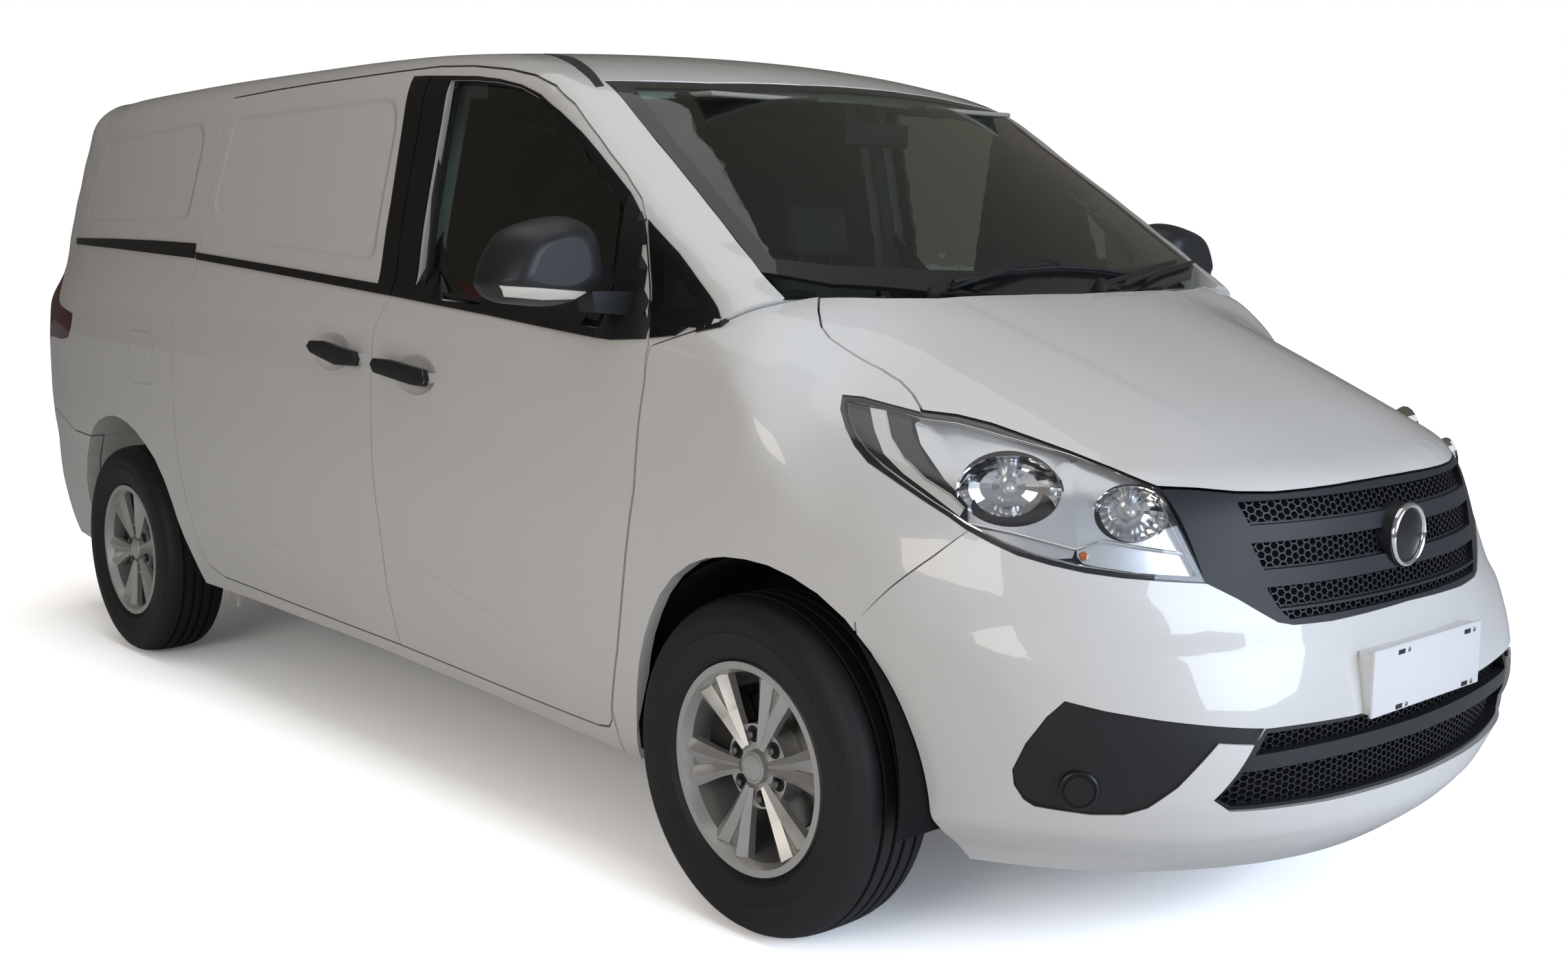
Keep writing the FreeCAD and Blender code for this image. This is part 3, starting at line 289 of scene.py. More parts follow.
# Lamp bezels: vacuum-metallised but satin
satin_silver = plain("satin_metallised_bezel", "lamp_glass", "E9EAEB", 0.28, 30.0, 0.001, Metallic=0.6)
lamp_dark = plain("dark_lamp_housing", "lamp_glass", "18191B", 0.25, 30.0, 0.001)
light_guide = plain("milky_light_guide", "lamp_glass", "EDE8DF", 0.35, 30.0, 0.001, Coat_Weight=1.0)
amber = plain("amber_lamp_bulb", "lamp_glass", "D9681A", 0.15, 3.0, 0.01, Coat_Weight=1.0)
plate_white = plain("white_plate_carrier", "white_paint", "F0F0F0", 0.35, 4.0, 0.01, Coat_Weight=0.6)
trim_grey = plain("moulded_pale_grey_trim", "grey_trim", "A7A49E", 0.6, 1.5, 0.08)
dash_dark = plain("moulded_dark_grey_dash", "grey_trim", "3C3D3F", 0.62, 1.5, 0.1)


# %% [markdown]
# ## Glass
#
# Soda-lime glass has a faint green tint. A path tracer loses most light at two refracting faces, so light
# that travels inside goes through a plain see-through shader, and only the eye meets real glass.

# %% Glass
def glass(name, slot, tint, roughness=0.0, shade=None):
    material, tree, shader = new_finish(name, slot, Base_Color=linear(tint), Roughness=roughness, IOR=1.45,
                                        Transmission_Weight=1.0)
    path = add_node(tree, "LightPath").outputs
    lit = maths(tree, "MAXIMUM", path["Is Shadow Ray"], path["Is Diffuse Ray"])
    clear = add_node(tree, "BsdfTransparent", {"Color": linear(shade or tint)})
    show(tree, mixed(tree, lit, shader, clear))
    return material


window_glass = glass("tinted_soda_lime_glass", "glass", "D2DCD6", shade="9AA39D")
dark_glass = glass("privacy_glass", "dark_glass", "2A3230")
lens_clear = glass("clear_polycarbonate", "lamp_glass", "F8F9FA")
lens_red = glass("red_polycarbonate", "red_lamp", "8E1016", 0.04)
mirror_glass = plain("silvered_mirror_glass", "glass", "E8EAEC", 0.02, 30.0, 0.001, Metallic=1.0)

cloth, tree, shader = new_finish("woven_grey_seat_cloth", "seat_cloth", Base_Color=linear("9B9995"),
                                 Roughness=0.9, Sheen_Weight=0.3, Sheen_Roughness=0.5)
weave = add_node(tree, "TexWave", {"Vector": object_place(tree), "Scale": 90.0, "Distortion": 1.5},
                 wave_type="BANDS", bands_direction="DIAGONAL")
tree.links.new(relief(tree, weave.outputs["Fac"], 0.0006, 0.8), shader.inputs["Normal"])

# %% Finish of each CAD node
NODE_FINISHES = {
    white_side: "bodyside sliding_door front_door", white_bonnet: "bonnet",
    white: "front_wing roof_panel front_bumper rear_bumper tailgate", grille_grey: "upper_grille",
    mesh_black: "lower_grille", window_glass: "windscreen door_glass", dark_glass: "tailgate_glass",
    lamp_dark: "headlamp", lens_clear: "headlamp_lens", lens_red: "tail_lamp", mirror_black: "mirror",
    trim_black: "fog_surround cowl fuel_tank", dash_dark: "dashboard steering_wheel",
    cloth: "driver_seat passenger_seat", chassis: "floor_pan front_suspension rear_axle",
    cast: "engine_block knuckle", steel: "exhaust", rubber: "spare_wheel tyre", alloy: "wheel",
}
finish_of = {stem: finish for finish, stems in NODE_FINISHES.items() for stem in stems.split()}
for name, node in nodes.items():
    stem = max((key for key in finish_of if name.startswith(key)), key=len)
    node.data.materials.clear()
    node.data.materials.append(finish_of[stem])
print("finishes set on", len(nodes), "nodes")


# %% [markdown]
# ## Pieces that lie on the skin
#
# Trim, black panels and the glass border follow the curved body. Each starts as a flat outline cut into a
# grid. Every point then drops along one direction onto the CAD skin, and the sheet gets its thickness.

# %% Skin helpers
def skin_tree(*names):
    points, faces = [], []
    for name in names:
        mesh = nodes[name].data
        start = len(points)
        points += [v.co.copy() for v in mesh.vertices]
        faces += [[start + i for i in p.vertices] for p in mesh.polygons]
    return BVHTree.FromPolygons(points, faces)


def finish_piece(bm, name, material, body, smooth=True, sharp=40):
    mesh = bpy.data.meshes.new(name)
    bmesh.ops.recalc_face_normals(bm, faces=bm.faces)
    for edge in bm.edges:
        edge.smooth = len(edge.link_faces) == 2 and edge.calc_face_angle(0) < math.radians(sharp)
    for face in bm.faces:
        face.smooth = smooth
    bm.to_mesh(mesh)
    bm.free()
    piece = bpy.data.objects.new(name, mesh)
    scene.collection.objects.link(piece)
    mesh.materials.append(material)
    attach(piece, body)
    return piece


def cut_grid(bm, pitch):
    """Cuts flat faces into squares of the given pitch."""
    for axis in (0, 1):
        low, high = min(v.co[axis] for v in bm.verts), max(v.co[axis] for v in bm.verts)
        for k in range(1, int((high - low) / pitch) + 1):
            point, normal = Vector(), Vector()
            point[axis], normal[axis] = low + k * pitch, 1
            everything = bm.verts[:] + bm.edges[:] + bm.faces[:]
            bmesh.ops.bisect_plane(bm, geom=everything, plane_co=point, plane_no=normal, dist=1e-6)
    return bm


def flat_sheet(points, pitch):
    bm = bmesh.new()
    bm.faces.new([bm.verts.new((u, v, 0)) for u, v in points])
    bmesh.ops.triangulate(bm, faces=bm.faces[:], ngon_method="EAR_CLIP")
    return cut_grid(bm, pitch)


def flat_ring(outer, inner, pitch):
    """A closed band between two outlines of as many points."""
    bm = bmesh.new()
    rows = [[bm.verts.new((u, v, 0)) for u, v in line] for line in (outer, inner)]
    count = len(outer)
    for k in range(count):
        n = (k + 1) % count
        bm.faces.new([rows[0][k], rows[0][n], rows[1][n], rows[1][k]])
    return cut_grid(bm, pitch)


def rounded(bm, edges, radius, segments=3):
    bmesh.ops.bevel(bm, geom=edges, offset=radius, affect="EDGES", segments=segments, profile=0.5,
                    material=-1)


def far_side(bm):
    """Extrudes every face and returns the points of the new side."""
    made = bmesh.ops.extrude_face_region(bm, geom=bm.faces[:], use_keep_orig=True)["geom"]
    return [item for item in made if isinstance(item, bmesh.types.BMVert)]


def pushed_back(bm, shift):
    """Gives an open sheet thickness towards a direction."""
    for vert in far_side(bm):
        vert.co += shift
    return bm


def laid(name, bm, tree, view, lift, depth, material, body):
    """Drops a flat sheet onto the skin and thickens it. A view is where rays begin and their way."""
    start, direction = view
    normals = {}
    for vert in bm.verts:
        origin = start(vert.co.x, vert.co.y)
        place, normal, _, _ = tree.ray_cast(origin, direction)
        if place is None:
            place, normal, _, _ = tree.find_nearest(origin + direction * 2)
        if normal.dot(direction) > 0:
            normal = -normal
        vert.co = place + normal * lift
        normals[vert.co.copy().freeze()] = normal.copy()
    for vert in far_side(bm):
        vert.co -= normals[vert.co.copy().freeze()] * depth
    return finish_piece(bm, name, material, body)


def from_side(side):
    return lambda u, v: Vector((u, side * 2.0, v)), Vector((0, -side, 0))


DOWN, BACK, AHEAD = Vector((0, 0, -1)), Vector((-1, 0, 0)), Vector((1, 0, 0))
FROM_ABOVE = (lambda u, v: Vector((u, v, 3.0)), DOWN)
FROM_FRONT = (lambda u, v: Vector((4.0, u, v)), BACK)
FROM_BEHIND = (lambda u, v: Vector((-4.0, u, v)), AHEAD)


def strip(upper, lower):
    return upper + lower[::-1]


SIDES = ((-1, "right"), (1, "left"))

# %% [markdown]
# ## Black trim along the sides
#
# Rail cover, belt trim, black film on the pillars and the door frame, and the quarter panel ahead of the
# door. Points are (x, z) on the side.

# %% Side trim
RAIL = strip([(-2.193, 1.402), (-1.722, 1.401), (-1.350, 1.397), (-1.031, 1.390)],
             [(-2.185, 1.380), (-1.713, 1.368), (-1.031, 1.344)])
BELT_SLIDE = strip([(-1.022, 1.363), (-0.462, 1.331), (0.144, 1.294), (0.2235, 1.289)],
                   [(-1.016, 1.341), (-0.462, 1.308), (0.144, 1.270), (0.2235, 1.2655)])
PANEL_B = [(0.2235, 1.285), (0.142, 1.290), (0.150, 1.500), (0.136, 1.826), (0.2235, 1.822)]
WINDOW_TOP = [(0.329, 1.804), (0.450, 1.797), (0.560, 1.785), (0.660, 1.767), (0.750, 1.737), (0.840, 1.691),
              (0.920, 1.641), (1.000, 1.589), (1.075, 1.537), (1.151, 1.479)]
FRAME_TOP = [(0.329, 1.8145), (0.450, 1.806), (0.560, 1.792), (0.660, 1.773), (0.752, 1.745), (0.848, 1.700),
             (0.938, 1.651), (1.016, 1.602), (1.085, 1.557), (1.151, 1.513)]
BELT_DOOR = [(0.2285, 1.2655), (0.415, 1.253), (0.704, 1.235), (0.962, 1.217), (1.151, 1.204)]
WINDOW_SILL = [(0.2285, 1.282), (0.329, 1.2755), (0.600, 1.258), (0.900, 1.239), (1.151, 1.2215)]
SAIL = [(1.151, 1.204), (1.211, 1.202), (1.319, 1.209), (1.284, 1.267), (1.257, 1.350), (1.237, 1.420),
        (1.219, 1.455), (1.151, 1.513)]
QUARTER = [(1.229, 1.455), (1.339, 1.385), (1.400, 1.339), (1.485, 1.277), (1.512, 1.252), (1.506, 1.240),
           (1.455, 1.228), (1.400, 1.219), (1.330, 1.211), (1.292, 1.268), (1.265, 1.351), (1.245, 1.421)]
QUARTER_PANE = [(1.300, 1.374), (1.345, 1.344), (1.437, 1.277), (1.330, 1.262)]
SEAL_OUTER = WINDOW_TOP + [(1.151, 1.2215), (0.329, 1.2755)]
SEAL_INNER = [(0.362, 1.7945), (0.450, 1.789), (0.558, 1.777), (0.656, 1.759), (0.744, 1.730), (0.832, 1.685),
              (0.911, 1.635), (0.990, 1.583), (1.062, 1.533), (1.130, 1.480), (1.130, 1.232), (0.368, 1.283)]

FILM_PITCH, SEAL_PITCH = 0.025, 0.05
DOOR_FRAME_REAR = [(0.2285, 1.282), (0.2285, 1.8215), (0.329, 1.8145), (0.329, 1.2755)]
BODY_TRIM = {"rail_cover": (RAIL, film_black, 0.004, 0.012),
             "belt_trim": (BELT_SLIDE, film_black, 0.004, 0.012),
             "pillar_film": (PANEL_B, film_black, 0.0035, 0.007),
             "quarter_panel": (QUARTER, film_black, 0.0035, 0.007),
             "quarter_pane": (QUARTER_PANE, print_black, 0.0045, 0.004)}
DOOR_TRIM = {"door_frame_rear": (DOOR_FRAME_REAR, film_black, 0.0035, 0.007),
             "door_frame_top": (strip(FRAME_TOP, WINDOW_TOP), film_black, 0.0035, 0.007),
             "door_belt": (strip(WINDOW_SILL, BELT_DOOR), film_black, 0.004, 0.010),
             "mirror_sail": (SAIL, trim_black, 0.0040, 0.008)}

for side, tag in SIDES:
    view, door = from_side(side), f"front_door_{tag}"
    body_skin = skin_tree(f"bodyside_{tag}", f"sliding_door_{tag}", f"front_wing_{tag}")
    for trim, skin, body in ((BODY_TRIM, body_skin, "body"), (DOOR_TRIM, skin_tree(door), door)):
        for name, (points, material, lift, depth) in trim.items():
            sheet = flat_sheet(points, FILM_PITCH)
            laid(f"{name}_{tag}", sheet, skin, view, lift, depth, material, body)
    seal = flat_ring(SEAL_OUTER, SEAL_INNER, SEAL_PITCH)
    laid(f"glass_seal_{tag}", seal, skin_tree(f"door_glass_{tag}"), view, 0.015, 0.015, trim_black, door)
print("side trim laid on the skin")


# %% [markdown]
# ## Door handles
#
# Black pull bars across the hollows of the doors, with rounded edges, just larger than the bars they
# dress.

# %% Door handles
FRONT_BAR = [(0.264, 1.098), (0.279, 1.1135), (0.360, 1.1135), (0.449, 1.1055), (0.5245, 1.0985),
             (0.5325, 1.073), (0.522, 1.0585), (0.465, 1.0585), (0.376, 1.0675), (0.282, 1.0775)]
SLIDE_BAR = [(-0.0805, 1.127), (-0.0605, 1.1415), (0.008, 1.1435), (0.099, 1.1315), (0.178, 1.1245),
             (0.1895, 1.106), (0.181, 1.0875), (0.074, 1.0845), (0.001, 1.0975), (-0.0605, 1.1095)]


def prism_piece(name, points, lay, low, high, material, body, bevel=0.0):
    """A flat outline made thick: lay places (u, v, depth) in space."""
    bm = bmesh.new()
    bm.faces.new([bm.verts.new(lay(u, v, low)) for u, v in points])
    pushed_back(bm, lay(*points[0], high) - lay(*points[0], low))
    if bevel:
        bmesh.ops.recalc_face_normals(bm, faces=bm.faces)
        rims = [e for e in bm.edges if any(len(f.verts) == len(points) for f in e.link_faces)]
        rounded(bm, rims, bevel)
    return finish_piece(bm, name, material, body)


# How far a bar stands off the door, back and front
BAR_BACK, BAR_FRONT, BAR_ROUND = 0.0100, 0.0275, 0.005
for side, tag in SIDES:
    bars = (("front", FRONT_BAR, 0.981, f"front_door_{tag}"), ("slide", SLIDE_BAR, 0.979, "body"))
    for label, points, face, body in bars:
        prism_piece(f"handle_{label}_{tag}", points, lambda u, v, d, s=side: Vector((u, s * d, v)),
                    face + BAR_BACK, face + BAR_FRONT, trim_black, body, BAR_ROUND)
print("handles ready")

# %% [markdown]
# ## Profiles, rods and plates
#
# Small parts are made as a lathe, a bending rig and a press would: a spun profile, a section carried along
# a path, and flat outlines pushed back.

# %% Shape helpers
def spun(profile, centre, axis, steps, closed=False):
    """A profile of (radius, place along the axis) turned once about the axis."""
    axis = Vector(axis).normalized()
    out = axis.orthogonal().normalized()
    bm = bmesh.new()
    verts = [bm.verts.new(Vector(centre) + out * r + axis * along) for r, along in profile]
    edges = [bm.edges.new(pair) for pair in zip(verts, verts[1:] + verts[:1] if closed else verts[1:])]
    bmesh.ops.spin(bm, geom=verts + edges, cent=Vector(centre), axis=axis, angle=2 * math.pi, steps=steps,
                   use_merge=True)
    bmesh.ops.remove_doubles(bm, verts=bm.verts, dist=1e-6)
    return bm


def rod(points, side, width, height, bm=None, loop=False):
    """A rounded bar along points, or round a closed line, with its width across and its height off it."""
    bm = bm or bmesh.new()
    count, last = (6, len(points)) if loop else (8, len(points) - 1)
    turns = [math.tau * (k if loop else k + 0.5) / count for k in range(count)]
    rows = []
    for k, point in enumerate(points):
        before, after = (k - 1, (k + 1) % last) if loop else (max(k - 1, 0), min(k + 1, last))
        ahead = (points[after] - points[before]).normalized()
        across = ahead.cross(side).normalized()
        off = side if loop else across.cross(ahead).normalized()
        arms = [across * (math.cos(t) * width / 2) + off * (math.sin(t) * height / 2) for t in turns]
        rows.append([bm.verts.new(point + arm) for arm in arms])
    for a, b in zip(rows, rows[1:] + rows[:1] if loop else rows[1:]):
        for k in range(count):
            n = (k + 1) % count
            bm.faces.new([a[k], a[n], b[n], b[k]])
    if not loop:
        bm.faces.new(rows[0])
        bm.faces.new(rows[-1][::-1])
    return bm


def rounded_box(name, low, high, material, body, bevel):
    bm = bmesh.new()
    bmesh.ops.create_cube(bm, size=1.0)
    for vert in bm.verts:
        vert.co = Vector([low[i] + (vert.co[i] + 0.5) * (high[i] - low[i]) for i in range(3)])
    rounded(bm, bm.edges[:], bevel)
    return finish_piece(bm, name, material, body)


def merged(target, other):
    """Adds one mesh in progress to another."""
    mesh = bpy.data.meshes.new("joint")
    other.to_mesh(mesh)
    other.free()
    target.from_mesh(mesh)
    bpy.data.meshes.remove(mesh)
    return target


# %% [markdown]
# ## Tyres
#
# One spun profile with four grooves and sidewall ribs. Its shoulder dips at every third step, which leaves
# blocks.

# %% Tyres
AXLES = {"front": 1.624, "rear": -1.574}
TRACK, AXLE_HEIGHT = 0.838, 0.3535
HALF_TREAD = [(0.3535, 0.000), (0.3535, 0.010), (0.3455, 0.0115), (0.3455, 0.0185), (0.3533, 0.020),
              (0.3525, 0.044), (0.3445, 0.0455), (0.3445, 0.0525), (0.3515, 0.054), (0.3480, 0.072),
              (0.3440, 0.082), (0.3370, 0.0925), (0.3290, 0.0985), (0.3200, 0.1020), (0.3185, 0.1035),
              (0.3150, 0.1045), (0.3080, 0.1055), (0.2950, 0.1060), (0.2830, 0.1055), (0.2800, 0.1065),
              (0.2770, 0.1055), (0.2600, 0.1035), (0.2450, 0.0995), (0.2380, 0.0985), (0.2350, 0.0965),
              (0.2260, 0.0900), (0.2215, 0.0855), (0.2070, 0.0840)]
BLOCKS = 58
# Gaps between blocks, at the shoulder and in the rib next to it: radius from which they run, inner and outer
# distance from the middle, depth, and how far the shoulder's face is set in
GAPS = [(0.317, 0.0535, 1.0, 0.0060, 0.0015), (0.350, 0.0185, 0.046, 0.0045, 0.0)]


def tyre(axle, side, tag):
    centre = Vector((AXLES[axle], side * TRACK, AXLE_HEIGHT))
    profile = HALF_TREAD[::-1] + [(r, -o) for r, o in HALF_TREAD[1:]]
    bm = spun(profile, centre, (0, 1, 0), BLOCKS * 3, closed=True)
    for vert in bm.verts:
        arm = vert.co - centre
        radius, out = math.hypot(arm.x, arm.z), abs(arm.y)
        place = math.atan2(arm.z, arm.x) / math.tau * BLOCKS
        if place - math.floor(place + 0.01) >= 0.2:
            continue
        for low, inner, outer, depth, inward in GAPS:
            if radius > low and inner < out < outer:
                shrink = 1 - depth / radius
                shift = arm.y - math.copysign(inward, arm.y) if inward else arm.y
                vert.co = centre + Vector((arm.x * shrink, shift, arm.z * shrink))
                break
    piece = finish_piece(bm, f"tread_{axle}_{tag}", rubber, f"wheel_{axle}_{tag}", sharp=22)
    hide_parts(f"tyre_{axle}_{tag}")
    return piece


for axle in AXLES:
    for side, tag in SIDES:
        tyre(axle, side, tag)

# %% [markdown]
# ## Wheel details and brakes
#
# Hex bolts on dark discs of painted shade in their recesses, a plain cap over the bearing, the turned brake
# disc between the spokes, and a dark barrel of painted shade inside the rim.

# %% Wheel details
BOLTS, BOLT_CIRCLE, FIRST_BOLT = 6, 0.0665, 42
BOLT = [(0.0, 0.070), (0.006, 0.0705), (0.0095, 0.068), (0.0105, 0.058)]
WELL_SHADE = [(0.0, 0.0585), (0.0150, 0.0585), (0.0162, 0.0600), (0.0175, 0.0585), (0.0175, 0.0580), (0.0, 0.0580)]
CAP = [(0.0, 0.0765), (0.020, 0.0760), (0.0265, 0.0745), (0.0275, 0.0725), (0.0285, 0.0745), (0.0325, 0.0735),
       (0.0345, 0.0705), (0.0345, 0.060)]
DISC = [(0.090, -0.012), (0.090, 0.0085), (0.143, 0.0085), (0.1465, 0.0070), (0.1465, -0.0110)]
BARREL = [(0.2030, -0.080), (0.2030, 0.060)]
for axle in AXLES:
    for side, tag in SIDES:
        body = f"wheel_{axle}_{tag}"
        centre = Vector((AXLES[axle], side * TRACK, AXLE_HEIGHT))
        outward = Vector((0, side, 0))
        # The dark disc behind each bolt is painted shade in its recess
        bolts, well_shades = bmesh.new(), bmesh.new()
        for k in range(BOLTS):
            angle = math.radians(FIRST_BOLT + 360 / BOLTS * k)
            seat = centre + Vector((BOLT_CIRCLE * math.cos(angle), 0, BOLT_CIRCLE * math.sin(angle)))
            merged(bolts, spun(BOLT, seat, outward, 6))
            merged(well_shades, spun(WELL_SHADE, seat, outward, 24))
        finish_piece(bolts, f"bolts_{axle}_{tag}", zinc, body, sharp=20)
        finish_piece(well_shades, f"bolt_well_shade_{axle}_{tag}", chassis, body)
        finish_piece(spun(CAP, centre, outward, 48), f"cap_{axle}_{tag}", alloy, body)
        finish_piece(spun(DISC, centre, outward, 72, closed=True), f"disc_face_{axle}_{tag}", steel, body)
        # A dark barrel inside the rim: painted shade
        barrel = spun(BARREL, centre, outward, 64)
        finish_piece(barrel, f"barrel_shade_{axle}_{tag}", chassis, body)
print("wheel details ready")

# %% [markdown]
# ## Wheel-arch liners
#
# Black felt shells above the front wheels, each closed on the inboard side by a flat near-black wall of
# painted shade. Without them the arches would show white sheet metal from the inside.

# %% Liners
LINER_RADIUS, LINER_STEPS, LINER_TURN = 0.3985, 28, (-12, 192)
LINER_INNER, LINER_OUTER, ARCH_CENTRE = 0.610, 0.900, (1.630, 0.384)

for side, tag in SIDES:
    bm = bmesh.new()
    rows = []
    for k in range(LINER_STEPS + 1):
        angle = math.radians(LINER_TURN[0] + (LINER_TURN[1] - LINER_TURN[0]) * k / LINER_STEPS)
        x = ARCH_CENTRE[0] + LINER_RADIUS * math.cos(angle)
        z = ARCH_CENTRE[1] + LINER_RADIUS * math.sin(angle)
        rows.append([bm.verts.new((x, side * y, z)) for y in (LINER_INNER, LINER_OUTER)])
    # The fan from the hub closes the arch on the inboard side: a near-black wall of painted shade
    hub = bm.verts.new((ARCH_CENTRE[0], side * LINER_INNER, ARCH_CENTRE[1]))
    for a, b in zip(rows, rows[1:]):
        bm.faces.new([a[0], a[1], b[1], b[0]])
        bm.faces.new([a[0], b[0], hub])
    finish_piece(bm, f"liner_front_{tag}", felt_and_shade_black, "body")
print("liners ready")

# %% [markdown]
# ## Windscreen border, roof ditches and wipers
#
# The black border hides the glue line. Points are (x, y) in plan for the right half, and the left mirrors
# them.

# %% Windscreen border
OUTER_HALF = [(0.9945, 0.0), (0.9845, -0.200), (0.9325, -0.448), (0.8365, -0.686), (1.050, -0.712),
              (1.270, -0.739), (1.481, -0.765), (1.560, -0.640), (1.645, -0.400), (1.685, -0.190),
              (1.6965, 0.0)]
INNER_HALF = [(1.034, 0.0), (1.025, -0.195), (0.978, -0.432), (0.894, -0.646), (1.070, -0.676),
              (1.270, -0.700), (1.462, -0.716), (1.523, -0.600), (1.588, -0.380), (1.623, -0.180),
              (1.633, 0.0)]
SCREEN_PITCH = 0.06


def both_halves(points):
    return points + [(x, -y) for x, y in points[-2:0:-1]]


screen_skin = skin_tree("windscreen")
border = flat_ring(both_halves(OUTER_HALF), both_halves(INNER_HALF), SCREEN_PITCH)
laid("windscreen_border", border, screen_skin, FROM_ABOVE, 0.0008, 0.0016, print_black, "body")

DITCH = [(0.430, -0.575), (0.587, -0.641), (0.750, -0.696), (0.859, -0.728), (0.862, -0.707), (0.761, -0.669),
         (0.576, -0.596)]
for side, tag in SIDES:
    roof_skin = skin_tree("roof_panel", f"bodyside_{tag}")
    ditch = flat_sheet([(x, -side * y) for x, y in DITCH], SCREEN_PITCH)
    laid(f"roof_ditch_{tag}", ditch, roof_skin, FROM_ABOVE, 0.0015, 0.004, trim_black, "body")


def on_screen(x, y, lift):
    place, normal, _, _ = screen_skin.ray_cast(Vector((x, y, 3.0)), DOWN)
    if place is None:
        place, normal, _, _ = screen_skin.find_nearest(Vector((x, y, 1.3)))
    return place + (normal if normal.z > 0 else -normal) * lift


SCREEN_OUT = Vector((0.55, 0, 0.83))
PIVOT = [(0.0, 0.018), (0.013, 0.016), (0.017, 0.006), (0.017, -0.015)]
WIPERS = {
    "near": ([(1.668, -0.422, 0.020), (1.644, -0.258, 0.026), (1.616, -0.063, 0.028), (1.625, 0.005, 0.022)],
             [(1.636, -0.358), (1.630, -0.199), (1.629, 0.001), (1.632, 0.146), (1.638, 0.263)]),
    "far": ([(1.680, 0.101, 0.018), (1.641, 0.290, 0.026), (1.562, 0.540, 0.022)],
            [(1.653, 0.306), (1.606, 0.438), (1.538, 0.631), (1.492, 0.735)]),
}
for tag, (arm, blade) in WIPERS.items():
    bm = rod([on_screen(x, y, lift) for x, y, lift in arm], SCREEN_OUT, 0.015, 0.008)
    merged(bm, spun(PIVOT, on_screen(arm[0][0], arm[0][1], 0.010), SCREEN_OUT, 24))
    for lift, width, height in ((0.014, 0.010, 0.010), (0.005, 0.005, 0.009)):
        rod([on_screen(x, y, lift) for x, y in blade], SCREEN_OUT, width, height, bm)
    finish_piece(bm, f"wiper_{tag}", trim_black, "body")
print("windscreen dressed")

# %% [markdown]
# ## Grilles
#
# Behind the bars lies a honeycomb: cells a good 20 mm wide, each a ring between two hexagons. The mesh
# bends with the nose: every point takes its depth from the bars above and below it.

# %% Honeycomb
HEXAGON = [(-1, 0), (-0.5, 1), (0.5, 1), (1, 0), (0.5, -1), (-0.5, -1)]


def hexagon(centre, width, height, scale):
    u, v = centre
    w, h = width / 2 * scale, height / 2 * scale
    return [(u + w * a, v + h * b) for a, b in HEXAGON]


def honeycomb(low, high, half_width, cell, wall):
    """Flat honeycomb in (y, z) whose cells' centres lie between two heights and within the half width."""
    bm = bmesh.new()
    width, height = cell
    pitch = width * 0.75
    count = int(half_width(0.5 * (low + high)) / pitch) + 1
    for i in range(-count, count + 1):
        for j in range(-1, int((high - low) / height) + 2):
            u, v = i * pitch, low + (j + 0.5 * (i % 2)) * height
            if abs(u) > half_width(v) or not low - 0.3 * height < v < high + 0.3 * height:
                continue
            outer, inner = (hexagon((u, v), width, height, s) for s in (1.0, 1.0 - wall))
            a, b = ([bm.verts.new((0, y, z)) for y, z in line] for line in (outer, inner))
            for k in range(6):
                bm.faces.new([a[k], a[(k + 1) % 6], b[(k + 1) % 6], b[k]])
    bmesh.ops.remove_doubles(bm, verts=bm.verts, dist=1e-4)
    return bm


def nose_depth(tree, y, z, above, below, middle):
    """The bar surface's x at (y, z), between what is hit at the heights above and below."""
    y_ray = math.copysign(max(abs(y), middle), y or 1)
    hits = []
    for height in (above, below):
        place, _, _, _ = tree.ray_cast(Vector((4.0, y_ray, height)), BACK)
        if place is None:
            place, _, _, _ = tree.find_nearest(Vector((2.5, y_ray, height)))
        hits.append(place.x)
    share = (z - below) / (above - below)
    return hits[1] + (hits[0] - hits[1]) * share


def grille(label, skin, windows, cell, wall, recess, thick, middle):
    """One joined mesh for windows of (low, high, half width, bar above, bar below)."""
    bm = bmesh.new()
    for low, high, half_width, above, below in windows:
        comb = honeycomb(low, high, half_width, cell, wall)
        for vert in comb.verts:
            vert.co.x = nose_depth(skin, vert.co.y, vert.co.z, above, below, middle) - recess
        merged(bm, pushed_back(comb, Vector((-thick, 0, 0))))
    return finish_piece(bm, f"{label}_mesh", mesh_black, "body", smooth=False)


def backing(label, skin, width, height, centre, above, below, recess, middle):
    """A near-black sheet that closes the view behind a mesh: painted shade in the opening."""
    bm = bmesh.new()
    bmesh.ops.create_grid(bm, x_segments=24, y_segments=4, size=0.5)
    for vert in bm.verts:
        y, z = vert.co.x * width, centre + vert.co.y * height
        vert.co = Vector((nose_depth(skin, y, z, above, below, middle) - recess, y, z))
    finish_piece(bm, f"{label}_backing", felt_and_shade_black, "body")


def lower_half(v):
    return 0.455 + (0.538 - v) * 0.80 if v > 0.424 else 0.543 - (0.424 - v) * 1.1


BARS = (0.9500, 0.8865, 0.8055, 0.7490, 0.7245)
UPPER_ROWS = ((0.905, 0.941, 0.412), (0.824, 0.868, 0.402), (0.753, 0.787, 0.384), (0.729, 0.745, 0.364))
LOWER_ROWS = ((0.497, 0.529), (0.398, 0.470))
LOWER_TOP, LOWER_BOTTOM = 0.5665, 0.3745
# Half the width of the round place in the middle, where no bar shows the nose's depth
BOSS_HALF = 0.075

upper_skin, lower_skin = skin_tree("upper_grille"), skin_tree("front_bumper")
windows = [(low, high, lambda v, h=half: h, above, below)
           for (low, high, half), above, below in zip(UPPER_ROWS, BARS, BARS[1:])]
grille("grille", upper_skin, windows, (0.0205, 0.0150), 0.17, 0.0105, 0.008, BOSS_HALF)
